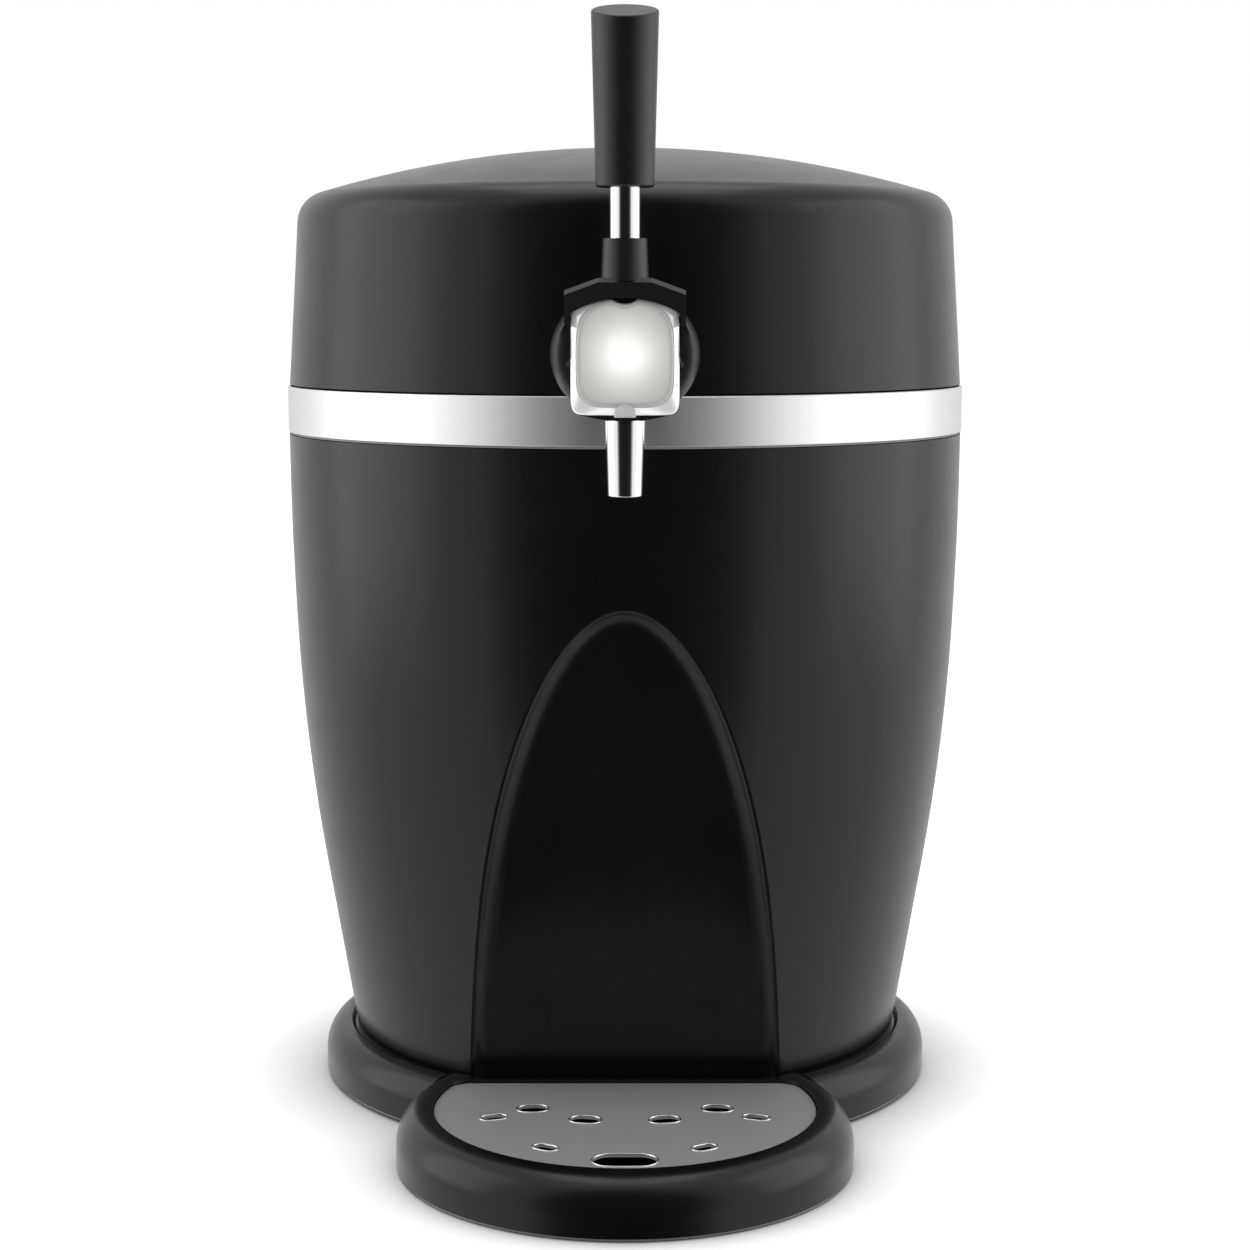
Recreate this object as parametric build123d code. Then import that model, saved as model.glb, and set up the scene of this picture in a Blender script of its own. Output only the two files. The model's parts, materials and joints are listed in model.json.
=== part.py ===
from build123d import *
from math import asin, cos, degrees, hypot, pi, radians, sin, sqrt, tan
import os

os.makedirs("parts", exist_ok=True)

# Countertop dispenser for one five-litre keg.  Millimetres, +Z up, front = -Y.
# Everything is drawn about the upright axis of the round body; place() at the
# end moves it so that the origin is the middle of the footprint, on the counter.

# ---- clearances and common walls -------------------------------------------
GAP = 0.3            # between neighbouring pieces
FIT = 0.05           # radial play of a shaft or screw in its hole
WALL = 2.5           # moulded walls
THIN = 1.2           # thin trim and sheet

# ---- base ------------------------------------------------------------------
BASE_LEDGE = 12.6    # how far the base stands out round the body's foot
BASE_LIFT = 1.0      # underside of the base above the counter
BASE_WALL_TOP = 9.0  # where the upright side turns into the shoulder
BASE_SHOULDER = 8.4  # width of the rounded shoulder
BASE_CREST_Z = 20.0
GROOVE = 1.2         # between the body's foot and the step down to its seat
SEAT_Z = 18.5        # deck of the base, on which the body stands
FOOT_R = 9.0
FOOT_PITCH_R = 92.0
BASE_BOSS_R = 4.5
BASE_BOSS_PITCH_R = 66.0
BASE_PLATE_THICK = 2.5
BASE_SCREW_Z = 2.5         # seat of the screw heads, sunk in the base plate
BASE_SCREW_LENGTH = 10.0
NOTCH_GAP = 0.5            # round the drip tray
LOOM_HALF = 14.0           # wiring way from the base up behind the chamber
LOOM_Y = (95.0, 103.0)
LOOM_Z = (32.0, 44.0)      # where it leaves the body into the rear housing

# ---- body ------------------------------------------------------------------
JACKET = 44.6              # foam and walls round the chamber, at the body's rim
FOOT_TAPER = 23.8          # how much smaller the foot's radius is than the rim's
WAIST_TAPER = 2.0
BODY_CONE_ANGLE = 9.6
CONE_HEIGHT = 66.5
WAIST_DROP = 73.2          # below the rim
RECESS_HALF_WIDTH = 58.0
RECESS_HEIGHT = 190.0
RECESS_CENTRE_Z = 10.0
RECESS_DEPTH = 19.3        # at the seat, in from the body's foot
RECESS_LEAN = 12.3         # degrees that the back wall leans forward
RECESS_INNER_R = 8.0
RECESS_EDGE_R = 1.6

# ---- keg chamber -----------------------------------------------------------
KEG_Y = 6.0
KEG_HEIGHT = 250.0
KEG_PROUD = 26.8           # top of the keg above the body's rim
CHAMBER_R = 87.0
CHAMBER_LIFT = 13.5        # chamber floor above the seat
LINER_WALL = 1.0
LINER_FLANGE = 5.0
LINER_CORNER_R = 8.0

# ---- deck, band and gasket -------------------------------------------------
BAND_PROUD = 0.4           # beyond the body's rim
BAND_LIFT = 1.0            # above the body's rim
BAND_HEIGHT = 17.4
BAND_THICK = 1.1
LIP_INSET = 0.6            # edge of the deck below the band, drawn in from the band
DECK_SINK = 1.0            # below the band's upper edge
DECK_SKIRT = 28.0
GASKET_INSET = 28.0        # in from the band's outside to the middle of the gasket
GASKET_WIDTH = 5.0
GASKET_SINK = 1.4

# ---- lid -------------------------------------------------------------------
LID_GAP = 0.7
LID_INSET = 0.8            # in from the band's outside
LID_TAPER = 4.4
LID_HEIGHT = 90.7
DOME_R = 411.0
LID_CORNER_R = 12.0
PAN_LIFT = 0.7             # pan flange above the lid's lower edge
PAN_ROOM = 5.0             # between the chamber's side and the pocket's, over the keg
PAN_DEPTH = 59.7           # of the pocket
PAN_WALL = 2.0
LID_BOSS_INSET = 19.2      # in from the lid's foot to its screws
LID_BOSS_R = 4.5
LID_SCREWS = 6
LID_SCREW_LENGTH = 11.0
LID_SCREW_SINK = 1.0       # heads sunk into the pan flange

# ---- hinge -----------------------------------------------------------------
HINGE_OFFSET = 7.5         # pin axis behind the band
HINGE_DROP = 8.3           # pin axis below the lid's lower edge
KNUCKLE_R = 6.0
HINGE_PIN_R = 2.5
HINGE_HALF = 21.0          # half width of the middle knuckle
LEAF_WIDTH = 20.0
BRACKET_DROP = 40.0
HINGE_FLAT = 1.5           # rear faces of the bracket and the leaves, in front of the pin axis
HINGE_GRIP = 5.0           # of a hinge screw, from its head to the wall
HINGE_TAPER = 4.0
LEAF_RISE = 36.0

# ---- tap -------------------------------------------------------------------
TAP_RISE = 14.2            # tap axis above the lid's lower edge
TAP_REACH = 18.8           # middle of the ball in front of the lid's foot
BALL_HALF_WIDTH = 25.2
BALL_HALF_DEPTH = 19.5
BALL_HALF_HEIGHT = 22.5
BALL_SECTIONS = 9
BALL_TAIL = 14.0           # from the ball's middle back to its flat rear end
BALL_NOSE = 8.0            # and forward to where the neck starts
PIVOT_REACH = 16.0         # lever pivot in front of the ball's middle
NECK_HALF_WIDTH = 16.8
NECK_TOP_R = 19.8          # about the lever pivot
NECK_TOP_SAG = 4.0         # lower at the sides than in the middle
NECK_BOTTOM = 21.6
NECK_BOTTOM_SAG = 2.6
NECK_CORNER_R = 2.5
FACE_HALF_WIDTH = 17.9
FACE_TOP = 19.8
FACE_TOP_SAG = 4.0
FACE_TOP_CORNER_R = 2.0
FACE_BOTTOM = 19.6
FACE_BOTTOM_SAG = 0.8
FACE_CORNER_R = 5.0
FACE_EDGE = 0.4
FACE_OFFSET = 3.6          # rear of the face in front of the lever pivot
FACE_THICK = 2.4
PAD_THICK = 2.0
PAD_SIDE = 1.4             # polished rim left beside the satin pad
PAD_BOTTOM = 3.2
PAD_CORNER_R = 7.0
NOTCH_R = 4.8              # half-round notch in the top edge of the face
COLLAR_R = 13.5
SHANK_R = 8.0
SHANK_BORE_R = 3.5
SHANK_SINK = 7.0           # into the ball, from its flat rear end
SHANK_TAIL = 11.5          # threaded end, from the seat to the barb
BARB_R = 3.1
BARB_BORE_R = 2.0
BARB_LENGTH = 12.0
SHANK_SEAT_R = 13.0        # flat seat inside the pan for the washer
SHANK_SEAT = 2.5           # how far the seat stands into the pocket
NUT_R = 12.7
NUT_THICK = 6.5
WASHER_R = 12.5
WASHER_THICK = 1.5
VALVE_DROP = 6.0           # valve chamber axis below the tap axis
VALVE_R = 6.5
PORT_R = 4.0
DISC_R = 5.2
DISC_THICK = 2.4
VALVE_REACH = 4.0          # front of the valve chamber before the ball's middle
CAVITY_HALF = 5.0
CAVITY_TOP = 8.5
CAVITY_DEPTH = 16.5
CAVITY_OFFSET = 9.5        # rear of the lever's cavity behind the pivot
PLUNGER_DROP = 7.0
PLUNGER_ROD_R = 2.4
SPOUT_OFFSET = 2.8         # spout axis and plunger tip behind the pivot
SPOUT_TOP_R = 6.7
SPOUT_TIP_R = 5.9
SPOUT_BORE_R = 4.2
SPOUT_LENGTH = 25.2
SPOUT_SPIGOT_R = 5.0
SPOUT_SPIGOT = 4.0

# ---- lever -----------------------------------------------------------------
ARM_THICK = 1.2
ARM_SHOULDER = 9.5         # where the saddle's sides step in to the arms
PIVOT_EYE_R = 5.0
SADDLE_HALF_WIDTH = 19.9
SADDLE_GAP = 0.4           # between the neck and the underside of the saddle
YOKE_BEVEL = 1.4
YOKE_HALF_DEPTH = 7.6
YOKE_CROWN = 25.2          # top of the saddle above the pivot
YOKE_CORNER = 21.2         # its height at the outer corners
YOKE_FLAT = 9.0
PIVOT_R = 3.0
TONGUE_HALF = 2.5
TONGUE_REACH = 10.5
LEVER_COLLAR_TOP = 38.1    # this and the next four are heights above the pivot
ROD_FOOT = 28.5
ROD_TOP = 67.5
GRIP_FOOT = 54.7
GRIP_FRONT = 108.5         # front edge of the grip's slanted top
LEVER_COLLAR_TOP_R = 7.3
LEVER_COLLAR_FOOT_R = 7.9
ROD_R = 5.1
GRIP_FOOT_R = 9.65
GRIP_TOP_R = 11.2
GRIP_SLANT = 15.5
GRIP_EDGE_R = 0.8

# ---- drip tray -------------------------------------------------------------
TRAY_REACH = 19.2          # middle of the tray in front of the body's foot
TRAY_R = 81.8
TRAY_LIFT = 0.3
TRAY_FOOT_EDGE = 1.0
TRAY_WALL_TOP = 8.5
TRAY_SHOULDER = 10.0
TRAY_CREST_Z = 21.0
TRAY_BACK = 11.8           # straight back edge, in from the body's foot
TRAY_CORNER_HALF = 56.0
TRAY_FLOOR = 2.2
PLATE_MARGIN = 13.4        # round the plate, in from the tray's side
PLATE_BACK_MARGIN = 2.6
PLATE_CORNER_R = 9.0
PLATE_Z = 18.6
PLATE_THICK = 1.2
LEDGE = 4.0
# slot centres and sizes on the right-hand half: x, distance in front of the
# tray centre, length, width, turn in degrees
PLATE_SLOTS = [(33.0, 1.5, 11.0, 8.0, -8.0), (46.5, 11.5, 9.5, 5.5, -20.0),
               (27.2, 44.0, 9.0, 5.5, 32.0), (14.0, 14.0, 11.0, 8.0, 12.0)]
FRONT_SLOT = (57.0, 22.0, 12.5)      # distance in front, length, width

# ---- cooling ---------------------------------------------------------------
COOL_Z = 140.0
BLOCK_HALF_WIDTH = 36.0
BLOCK_HALF_HEIGHT = 22.0
PELTIER_SIDE = 40.0
PELTIER_THICK = 3.8
SINK_SIDE = 80.0
SINK_BASE = 4.0
SINK_DEPTH = 24.0
FIN_COUNT = 13
FIN_THICK = 1.4
SINK_SCREW_X = 30.0
FAN_ROOM = 5.4             # between the fins and the fan
FAN_SIDE = 80.0
FAN_DEPTH = 15.0
FAN_BORE_R = 38.5
FAN_PITCH = 71.5
HUB_R = 16.0
FAN_BLADES = 7
FAN_CORNER_R = 4.0
MOTOR_PLATE = 3.0
STRUT_HALF = 2.0
SHAFT_R = 1.5
RUNNING = 0.8              # between the rotor and its frame
BLADE_WIDTH = 16.0
BLADE_THICK = 1.2
BLADE_PITCH = 35.0
SINK_SCREW_BITE = 8.0
SENSOR_R = 3.0
SENSOR_Z = 100.0
SENSOR_LENGTH = 20.0
WINDOW_HALF = 42.0

# ---- rear housing ----------------------------------------------------------
HOUSING_HALF = 58.0
HOUSING_Z = 28.0
HOUSING_TOP_Z = 196.0
HOUSING_REACH = 24.4       # rear face behind the body's rim
HOUSING_BACK_WALL = 3.5
HOUSING_CORNER_R = 12.0
HOUSING_EDGE_R = 3.0
HOUSING_GRIP = 22.0        # of a housing screw, from its head to the body's side
HOUSING_SCREW_X = 48.0
HOUSING_SCREW_INSET = 11.0
SCREW_BOSS_R = 4.2
BOSS_DEPTH = 11.0
SCREW_SPARE = 2.0          # left beyond the end of a screw in its boss
GRILLE_SIDE = 93.0
GRILLE_THICK = 2.0
GRILLE_OPENING = 84.0
GRILLE_PITCH = 88.0
GRILLE_CORNER_R = 4.0
GRILLE_REACH = 40.0
GRILLE_HUB_R = 12.0
GRILLE_RINGS = 6
GRILLE_BAR = 1.6
GRILLE_SPOKE = 4.0
INTAKE_SLOTS = 6
INTAKE_PITCH = 11.0
INTAKE_LENGTH = 16.0
INTAKE_WIDTH = 4.0
INTAKE_Y = 136.0
INLET_X = -24.0
INLET_Z = 58.0
INLET_WIDTH = 27.0
INLET_HEIGHT = 20.0
INLET_SCREW_PITCH = 40.0
INLET_EAR = 5.0
INLET_FLANGE = 2.0
INLET_DEPTH = 20.0
INLET_WALL = 2.0
INLET_TAB = 5.0
INLET_PINS = [(-7.0, -1.5), (7.0, -1.5), (0.0, 2.5)]
SWITCH_X = 29.0
SWITCH_WIDTH = 13.0
SWITCH_HEIGHT = 19.0
SWITCH_RIM = 2.0
SWITCH_WALL = 1.0
SWITCH_DEPTH = 14.0
ROCKER_PIN_R = 1.2
ROCKER_SINK = 3.0          # pin axis in from the rear face
ROCKER_RISE = 2.0
ROCKER_PLAY = 1.0
ROCKER_TILT = 8.0

# ---- boards in the base ----------------------------------------------------
BOARD_Z = 6.0
BOARD_THICK = 1.6
SUPPLY_SIZE = (84.0, 60.0)
SUPPLY_X = -42.0
CONTROL_SIZE = (56.0, 50.0)
CONTROL_X = 42.0
BOARD_Y = 8.0
POST_R = 2.5
POST_INSET = 4.0
# components: x and y from the middle of the board, length, width, height
SUPPLY_BLOCKS = [(12.0, 2.0, 26.0, 22.0, 7.8), (-20.0, 16.0, 22.0, 14.0, 7.0), (33.0, 18.0, 12.0, 10.0, 7.0),
                 (-8.0, -20.0, 30.0, 6.0, 7.4), (30.0, -14.0, 6.0, 18.0, 7.4)]
CONTROL_BLOCKS = [(0.0, 0.0, 14.0, 14.0, 1.6), (-16.0, 17.0, 16.0, 6.0, 6.5), (14.0, 17.0, 12.0, 6.0, 6.5),
                  (19.0, -6.0, 8.0, 12.0, 7.0), (-17.0, -10.0, 7.0, 5.0, 2.0)]
SUPPLY_CANS = [(-30.0, -4.0), (-19.0, -4.0)]
CAN_R = 4.5
CAN_HEIGHT = 7.6
AIR_SLOTS = 4
AIR_SLOT_PITCH = 8.0
AIR_SLOT_LENGTH = 60.0
AIR_SLOT_WIDTH = 2.4

# ---- tapping set under the lid ---------------------------------------------
COUPLER_LIFT = 1.5         # above the top of the keg
COUPLER_SKIRT_R = 22.0
COUPLER_SKIRT = 9.0
COUPLER_NECK_R = 12.0
COUPLER_HEIGHT = 26.5
COUPLER_BORE_R = 3.0
LINE_PORT = 14.5           # hose port above the coupler's foot
PORT_REACH = 22.0
COUPLER_CUP = 5.0          # depth of the cup that fits the keg's valve
COUPLER_RIM = 3.0
SEAL_R = 8.0
SEAL_HEIGHT = 3.0
LINE_R = 4.8
LINE_BEND_R = 30.0
STRAP_THICK = 2.0
STRAP_HALF = 20.0
STRAP_FRONT = 20.0         # reach in front of the coupler
STEM_R = 6.0
CRADLE_X = (12.0, 48.0)
CRADLE_HALF = 4.0
CO2_Y = 50.0
CO2_RISE = 22.5            # axis of the gas set above the coupler's foot
REGULATOR_X = (-40.0, -8.0)
REGULATOR_R = 13.0
KNOB_R = 11.0
KNOB_LENGTH = 11.0
KNOB_STEM_R = 3.0
HOLDER_R = 13.5
HOLDER_WALL = 2.0
HOLDER_X = (-7.7, 64.0)
HOLDER_THREAD = 6.0        # how far the holder screws on to the regulator
CARTRIDGE_R = 11.0
CARTRIDGE_NECK_R = 4.0
NECK_BITE = 6.0
STEM_BITE = 8.0
KNOB_FLUTES = 12
FLUTE_R = 1.3
GAS_X = -24.0
GAS_LINE_R = 2.5
GAS_BARB_R = 1.25
GAS_BARB = 4.0
GAS_BORE_R = 0.7
GAS_BEND_R = 5.0

# ---- screws ----------------------------------------------------------------
SCREW_R = 1.75
SCREW_HEAD_R = 3.4
SCREW_HEAD = 2.2
SLOT_DEPTH = 0.9
SMALL_SCREW_R = 1.25
SMALL_HEAD_R = 2.4


# ============================ small helpers =================================
def cyl_z(r, z0, z1, x=0, y=0):
    return Pos(x, y, (z0 + z1) / 2) * Cylinder(r, z1 - z0)


def cyl_y(r, y0, y1, x=0, z=0):
    return Pos(x, (y0 + y1) / 2, z) * Rot(90, 0, 0) * Cylinder(r, y1 - y0)


def cyl_x(r, x0, x1, y=0, z=0):
    return Pos((x0 + x1) / 2, y, z) * Rot(0, 90, 0) * Cylinder(r, x1 - x0)


def block(x0, x1, y0, y1, z0, z1):
    return Pos((x0 + x1) / 2, (y0 + y1) / 2, (z0 + z1) / 2) * Box(x1 - x0, y1 - y0, z1 - z0)


def on_circle(count, radius, start=0.0, y=0.0):
    """Points evenly spaced round a circle, as (x, y) pairs."""
    angles = [radians(start + 360.0 * i / count) for i in range(count)]
    return [(radius * cos(a), y + radius * sin(a)) for a in angles]


def corners(half_x, half_z, x=0.0, z=0.0):
    """The four corners of a rectangle, as (x, z) pairs."""
    return [(x + sx * half_x, z + sz * half_z) for sx in (-1, 1) for sz in (-1, 1)]


def turned(*edges):
    """A closed outline in the X-Z plane, turned about the Z axis."""
    return revolve(make_face(Plane.XZ * (Curve() + list(edges))), Axis.Z)


def rear_plate(half_x, half_z, radius, y0, y1, x=0.0, z=0.0):
    """A plate across Y from y0 to y1 with rounded corners."""
    outline = Plane.XZ * Pos(x, z) * RectangleRounded(2 * half_x, 2 * half_z, radius)
    return Pos(0, y1, 0) * extrude(outline, y1 - y0)


def pipe(points, radii, r, bore):
    """A hose along straight runs joined by arcs."""
    path = FilletPolyline(*points, radius=radii)
    section = Plane(origin=path @ 0, z_dir=path % 0) * (Circle(r) - Circle(bore))
    return sweep(section, path=path)


def screw(length, head_r=None, shank_r=None):
    """Pan-head screw: head from Z = 0 upwards, shank downwards, with a cross recess."""
    head_r, shank_r = head_r or SCREW_HEAD_R, shank_r or SCREW_R
    body = cyl_z(head_r, 0, SCREW_HEAD) + cyl_z(shank_r, -length, 0)
    body = fillet(body.edges().sort_by(Axis.Z)[-1], SCREW_HEAD * 0.4)
    slot = block(-head_r * 0.55, head_r * 0.55, -0.4, 0.4, SCREW_HEAD - SLOT_DEPTH, SCREW_HEAD + 1)
    return body - slot - Rot(0, 0, 90) * slot


def group(solids):
    return Compound(list(solids))


def joined(first, others):
    for other in others:
        first += other
    return first


def cut(first, others):
    for other in others:
        first -= other
    return first


# ============================ worked-out sizes ==============================
CHAMBER_FLOOR_Z = SEAT_Z + CHAMBER_LIFT
COUPLER_Z = CHAMBER_FLOOR_Z + KEG_HEIGHT + COUPLER_LIFT
COUPLER_TOP_Z = COUPLER_Z + COUPLER_HEIGHT
LINE_PORT_Z = COUPLER_Z + LINE_PORT
CO2_Z = COUPLER_Z + CO2_RISE
BODY_RIM_R = CHAMBER_R + JACKET
BODY_RIM_Z = CHAMBER_FLOOR_Z + KEG_HEIGHT - KEG_PROUD
BODY_WAIST_R = BODY_RIM_R - WAIST_TAPER
BODY_WAIST_Z = BODY_RIM_Z - WAIST_DROP
BODY_FOOT_R = BODY_RIM_R - FOOT_TAPER
BODY_CONE_TOP_Z = SEAT_Z + CONE_HEIGHT
CONE_TOP_R = BODY_FOOT_R + CONE_HEIGHT * tan(radians(BODY_CONE_ANGLE))
RECESS_BACK_Y = BODY_FOOT_R - RECESS_DEPTH
BASE_R = BODY_FOOT_R + BASE_LEDGE
BASE_CREST_R = BASE_R - BASE_SHOULDER
GROOVE_R = BODY_FOOT_R + GROOVE
BASE_PLATE_TOP_Z = BASE_LIFT + BASE_PLATE_THICK
BAND_R = BODY_RIM_R + BAND_PROUD
BAND_Z = BODY_RIM_Z + BAND_LIFT
BAND_TOP_Z = BAND_Z + BAND_HEIGHT
DECK_Z = BAND_TOP_Z - DECK_SINK
GASKET_R = BAND_R - GASKET_INSET
LINER_R = CHAMBER_R + LINER_WALL
LINER_TOP_Z = DECK_Z - WALL
LID_Z = BAND_TOP_Z + LID_GAP
LID_TOP_Z = LID_Z + LID_HEIGHT
LID_FOOT_R = BAND_R - LID_INSET
LID_SHOULDER_R = LID_FOOT_R - LID_TAPER
LID_BOSS_PITCH_R = LID_FOOT_R - LID_BOSS_INSET
PAN_Z = LID_Z + PAN_LIFT
PAN_R = CHAMBER_R + PAN_ROOM
PAN_RIM_R = LID_FOOT_R - WALL - 2 * GAP
PAN_CEILING_Z = LID_Z + PAN_DEPTH
HINGE_Y = BAND_R + HINGE_OFFSET
HINGE_Z = LID_Z - HINGE_DROP
HINGE_BACK_Y = HINGE_Y - HINGE_FLAT
HOUSING_BACK_Y = BODY_RIM_R + HOUSING_REACH
GRILLE_Y = HOUSING_BACK_Y - GRILLE_THICK
FAN_REAR_Y = GRILLE_Y - GAP
FAN_FRONT_Y = FAN_REAR_Y - FAN_DEPTH
SINK_Y = FAN_FRONT_Y - FAN_ROOM - SINK_DEPTH
BLOCK_BACK_Y = SINK_Y - PELTIER_THICK
TAP_Z = LID_Z + TAP_RISE
BALL_Y = -LID_FOOT_R - TAP_REACH
BALL_REAR_Y = BALL_Y + BALL_TAIL
NECK_REAR_Y = BALL_Y - BALL_NOSE
NECK_BOTTOM_Z = TAP_Z - NECK_BOTTOM
PIVOT_Y = BALL_Y - PIVOT_REACH
FACE_REAR_Y = PIVOT_Y - FACE_OFFSET
FACE_FRAME_Y = FACE_REAR_Y - FACE_THICK
FACE_FRONT_Y = FACE_FRAME_Y - PAD_THICK
SHANK_FRONT_Y = BALL_REAR_Y - SHANK_SINK
SHANK_SEAT_Y = KEG_Y - PAN_R + SHANK_SEAT
SHANK_TAIL_Y = SHANK_SEAT_Y + SHANK_TAIL
VALVE_FRONT_Y = BALL_Y - VALVE_REACH
CAVITY_REAR_Y = PIVOT_Y + CAVITY_OFFSET
SPOUT_Y = PIVOT_Y + SPOUT_OFFSET
PLUNGER_Z = TAP_Z - PLUNGER_DROP
ARM_IN = FACE_HALF_WIDTH + GAP
ARM_OUT = ARM_IN + ARM_THICK
LEVER_COLLAR_TOP_Z = TAP_Z + LEVER_COLLAR_TOP
ROD_FOOT_Z = TAP_Z + ROD_FOOT
ROD_TOP_Z = TAP_Z + ROD_TOP
GRIP_Z = TAP_Z + GRIP_FOOT
GRIP_FRONT_Z = TAP_Z + GRIP_FRONT
TRAY_Y = -BODY_FOOT_R - TRAY_REACH
TRAY_BACK_Y = TRAY_BACK - BODY_FOOT_R
TRAY_CREST_R = TRAY_R - TRAY_SHOULDER
PLATE_R = TRAY_R - PLATE_MARGIN
PLATE_BACK_Y = TRAY_BACK_Y - PLATE_BACK_MARGIN
LEAF_X = HINGE_HALF + GAP + LEAF_WIDTH / 2
ROCKER_Y = HOUSING_BACK_Y - ROCKER_SINK
SENSOR_XY = (-LINER_R - SENSOR_R - FIT, KEG_Y)
LINE_BORE_R = BARB_R + FIT
REAR_Y = HOUSING_BACK_Y + INLET_FLANGE + SCREW_HEAD
AXIS_Y = (TRAY_R - TRAY_Y - REAR_Y) / 2
BASE_BOSSES = on_circle(4, BASE_BOSS_PITCH_R, start=45.0, y=KEG_Y)
LID_BOSSES = on_circle(LID_SCREWS, LID_BOSS_PITCH_R, start=0.0)
HOUSING_MID_Z = (HOUSING_Z + HOUSING_TOP_Z) / 2
HOUSING_HALF_Z = (HOUSING_TOP_Z - HOUSING_Z) / 2
HOUSING_SCREWS = corners(HOUSING_SCREW_X, HOUSING_HALF_Z - HOUSING_SCREW_INSET, z=HOUSING_MID_Z)
BRACKET_SCREWS = [(side * HINGE_HALF * 0.6, HINGE_Z - BRACKET_DROP + 8) for side in (-1, 1)]
LEAF_SCREWS = [(side * LEAF_X, HINGE_Z + LEAF_RISE - 8) for side in (-1, 1)]
FAN_HOLES = corners(FAN_PITCH / 2, FAN_PITCH / 2, z=COOL_Z)
GRILLE_HOLES = corners(GRILLE_PITCH / 2, GRILLE_PITCH / 2, z=COOL_Z)


# ============================ shared forms ==================================
def body_form(inset=0.0):
    """The full round of the body, its side moved in by inset."""
    foot, cone_top = BODY_FOOT_R - inset, CONE_TOP_R - inset
    waist, rim = BODY_WAIST_R - inset, BODY_RIM_R - inset
    cone = Line((foot, SEAT_Z), (cone_top, BODY_CONE_TOP_Z))
    lower = TangentArc((cone_top, BODY_CONE_TOP_Z), (waist, BODY_WAIST_Z), tangent=cone % 1)
    upper = TangentArc((waist, BODY_WAIST_Z), (rim, BODY_RIM_Z), tangent=lower % 1)
    close = Polyline((rim, BODY_RIM_Z), (0, BODY_RIM_Z), (0, SEAT_Z), (foot, SEAT_Z))
    return turned(cone, lower, upper, close)


def body_radius(z, inset=0.0):
    """Radius of the body's side at a height."""
    reach = 2 * BODY_RIM_R
    level = body_form(inset) & block(-reach, reach, -reach, reach, z - 0.05, z + 0.05)
    return level.bounding_box().max.X


def body_rear(x, z, inset=0.0):
    """How far back the body's side is at a place on its rear."""
    return sqrt(body_radius(z, inset) ** 2 - x ** 2)


def recess_form(grow=0.0):
    """What the glass recess takes out of the body, its walls moved out by grow."""
    reach = BODY_RIM_R + 40
    lean = tan(radians(RECESS_LEAN))
    top_z = RECESS_CENTRE_Z + RECESS_HEIGHT + 30
    outline = Plane.XZ * Pos(0, RECESS_CENTRE_Z) * Ellipse(RECESS_HALF_WIDTH + grow, RECESS_HEIGHT + grow)
    arch = extrude(outline, reach)
    back = Polyline((grow - RECESS_BACK_Y + lean * SEAT_Z, 0), (-reach - 1, 0), (-reach - 1, top_z),
                    (grow - RECESS_BACK_Y - lean * (top_z - SEAT_Z), top_z), close=True)
    form = arch & extrude(make_face(Plane.YZ * back), 2 * RECESS_HALF_WIDTH, both=True)
    rim = form.faces().sort_by(Axis.Y)[-1].edges().filter_by(GeomType.LINE, reverse=True)
    return fillet(rim, RECESS_INNER_R + grow)


def lid_form(inset=0.0):
    """The full dome of the lid, its surface moved in by inset."""
    foot, shoulder, top = LID_FOOT_R - inset, LID_SHOULDER_R - inset, LID_TOP_Z - inset
    dome = DOME_R - inset
    half = asin(shoulder / dome) / 2
    side = Line((foot, LID_Z), (shoulder, top - dome + dome * cos(2 * half)))
    crown = ThreePointArc(side @ 1, (dome * sin(half), top - dome + dome * cos(half)), (0, top))
    close = Polyline((0, top), (0, LID_Z), (foot, LID_Z))
    face = make_face(Plane.XZ * (Curve() + [side, crown, close]))
    corner = face.vertices().sort_by_distance((shoulder, 0, (side @ 1).Y))[0]
    return revolve(fillet(corner, max(LID_CORNER_R - inset, LID_CORNER_R / 2)), Axis.Z)


def base_form():
    """Outer form of the base: upright side, rounded shoulder, and a step down to the deck."""
    side = Polyline((0, BASE_LIFT), (BASE_R - 1, BASE_LIFT), (BASE_R, BASE_LIFT + 1), (BASE_R, BASE_WALL_TOP))
    shoulder = EllipticalCenterArc((BASE_CREST_R, BASE_WALL_TOP), BASE_R - BASE_CREST_R,
                                   BASE_CREST_Z - BASE_WALL_TOP, arc_size=90)
    step = Polyline((BASE_CREST_R, BASE_CREST_Z), (GROOVE_R + BASE_CREST_Z - SEAT_Z, BASE_CREST_Z),
                    (GROOVE_R, SEAT_Z), (0, SEAT_Z), (0, BASE_LIFT))
    return turned(side, shoulder, step)


def base_hollow():
    """The room inside the base, one wall in from its outer form."""
    r, top = BASE_R - WALL, SEAT_Z - WALL
    side = Polyline((0, 0), (r, 0), (r, BASE_WALL_TOP))
    shoulder = EllipticalCenterArc((BASE_CREST_R, BASE_WALL_TOP), r - BASE_CREST_R,
                                   top - BASE_WALL_TOP, arc_size=90)
    return turned(side, shoulder, Polyline((BASE_CREST_R, top), (0, top), (0, 0)))


def tray_plan(grow=0.0, z0=0.0, z1=60.0):
    """Upright prism of the tray's outline, which wraps round the front of the body."""
    disc = Pos(0, TRAY_Y) * Circle(TRAY_R + grow)
    inner = Rectangle(2 * (TRAY_CORNER_HALF + grow), 2 * TRAY_R)
    inner = disc & Pos(0, TRAY_BACK_Y + grow - TRAY_R) * inner
    return Pos(0, 0, z0) * extrude(disc - Circle(GROOVE_R + GAP - grow) + inner, z1 - z0)


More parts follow.
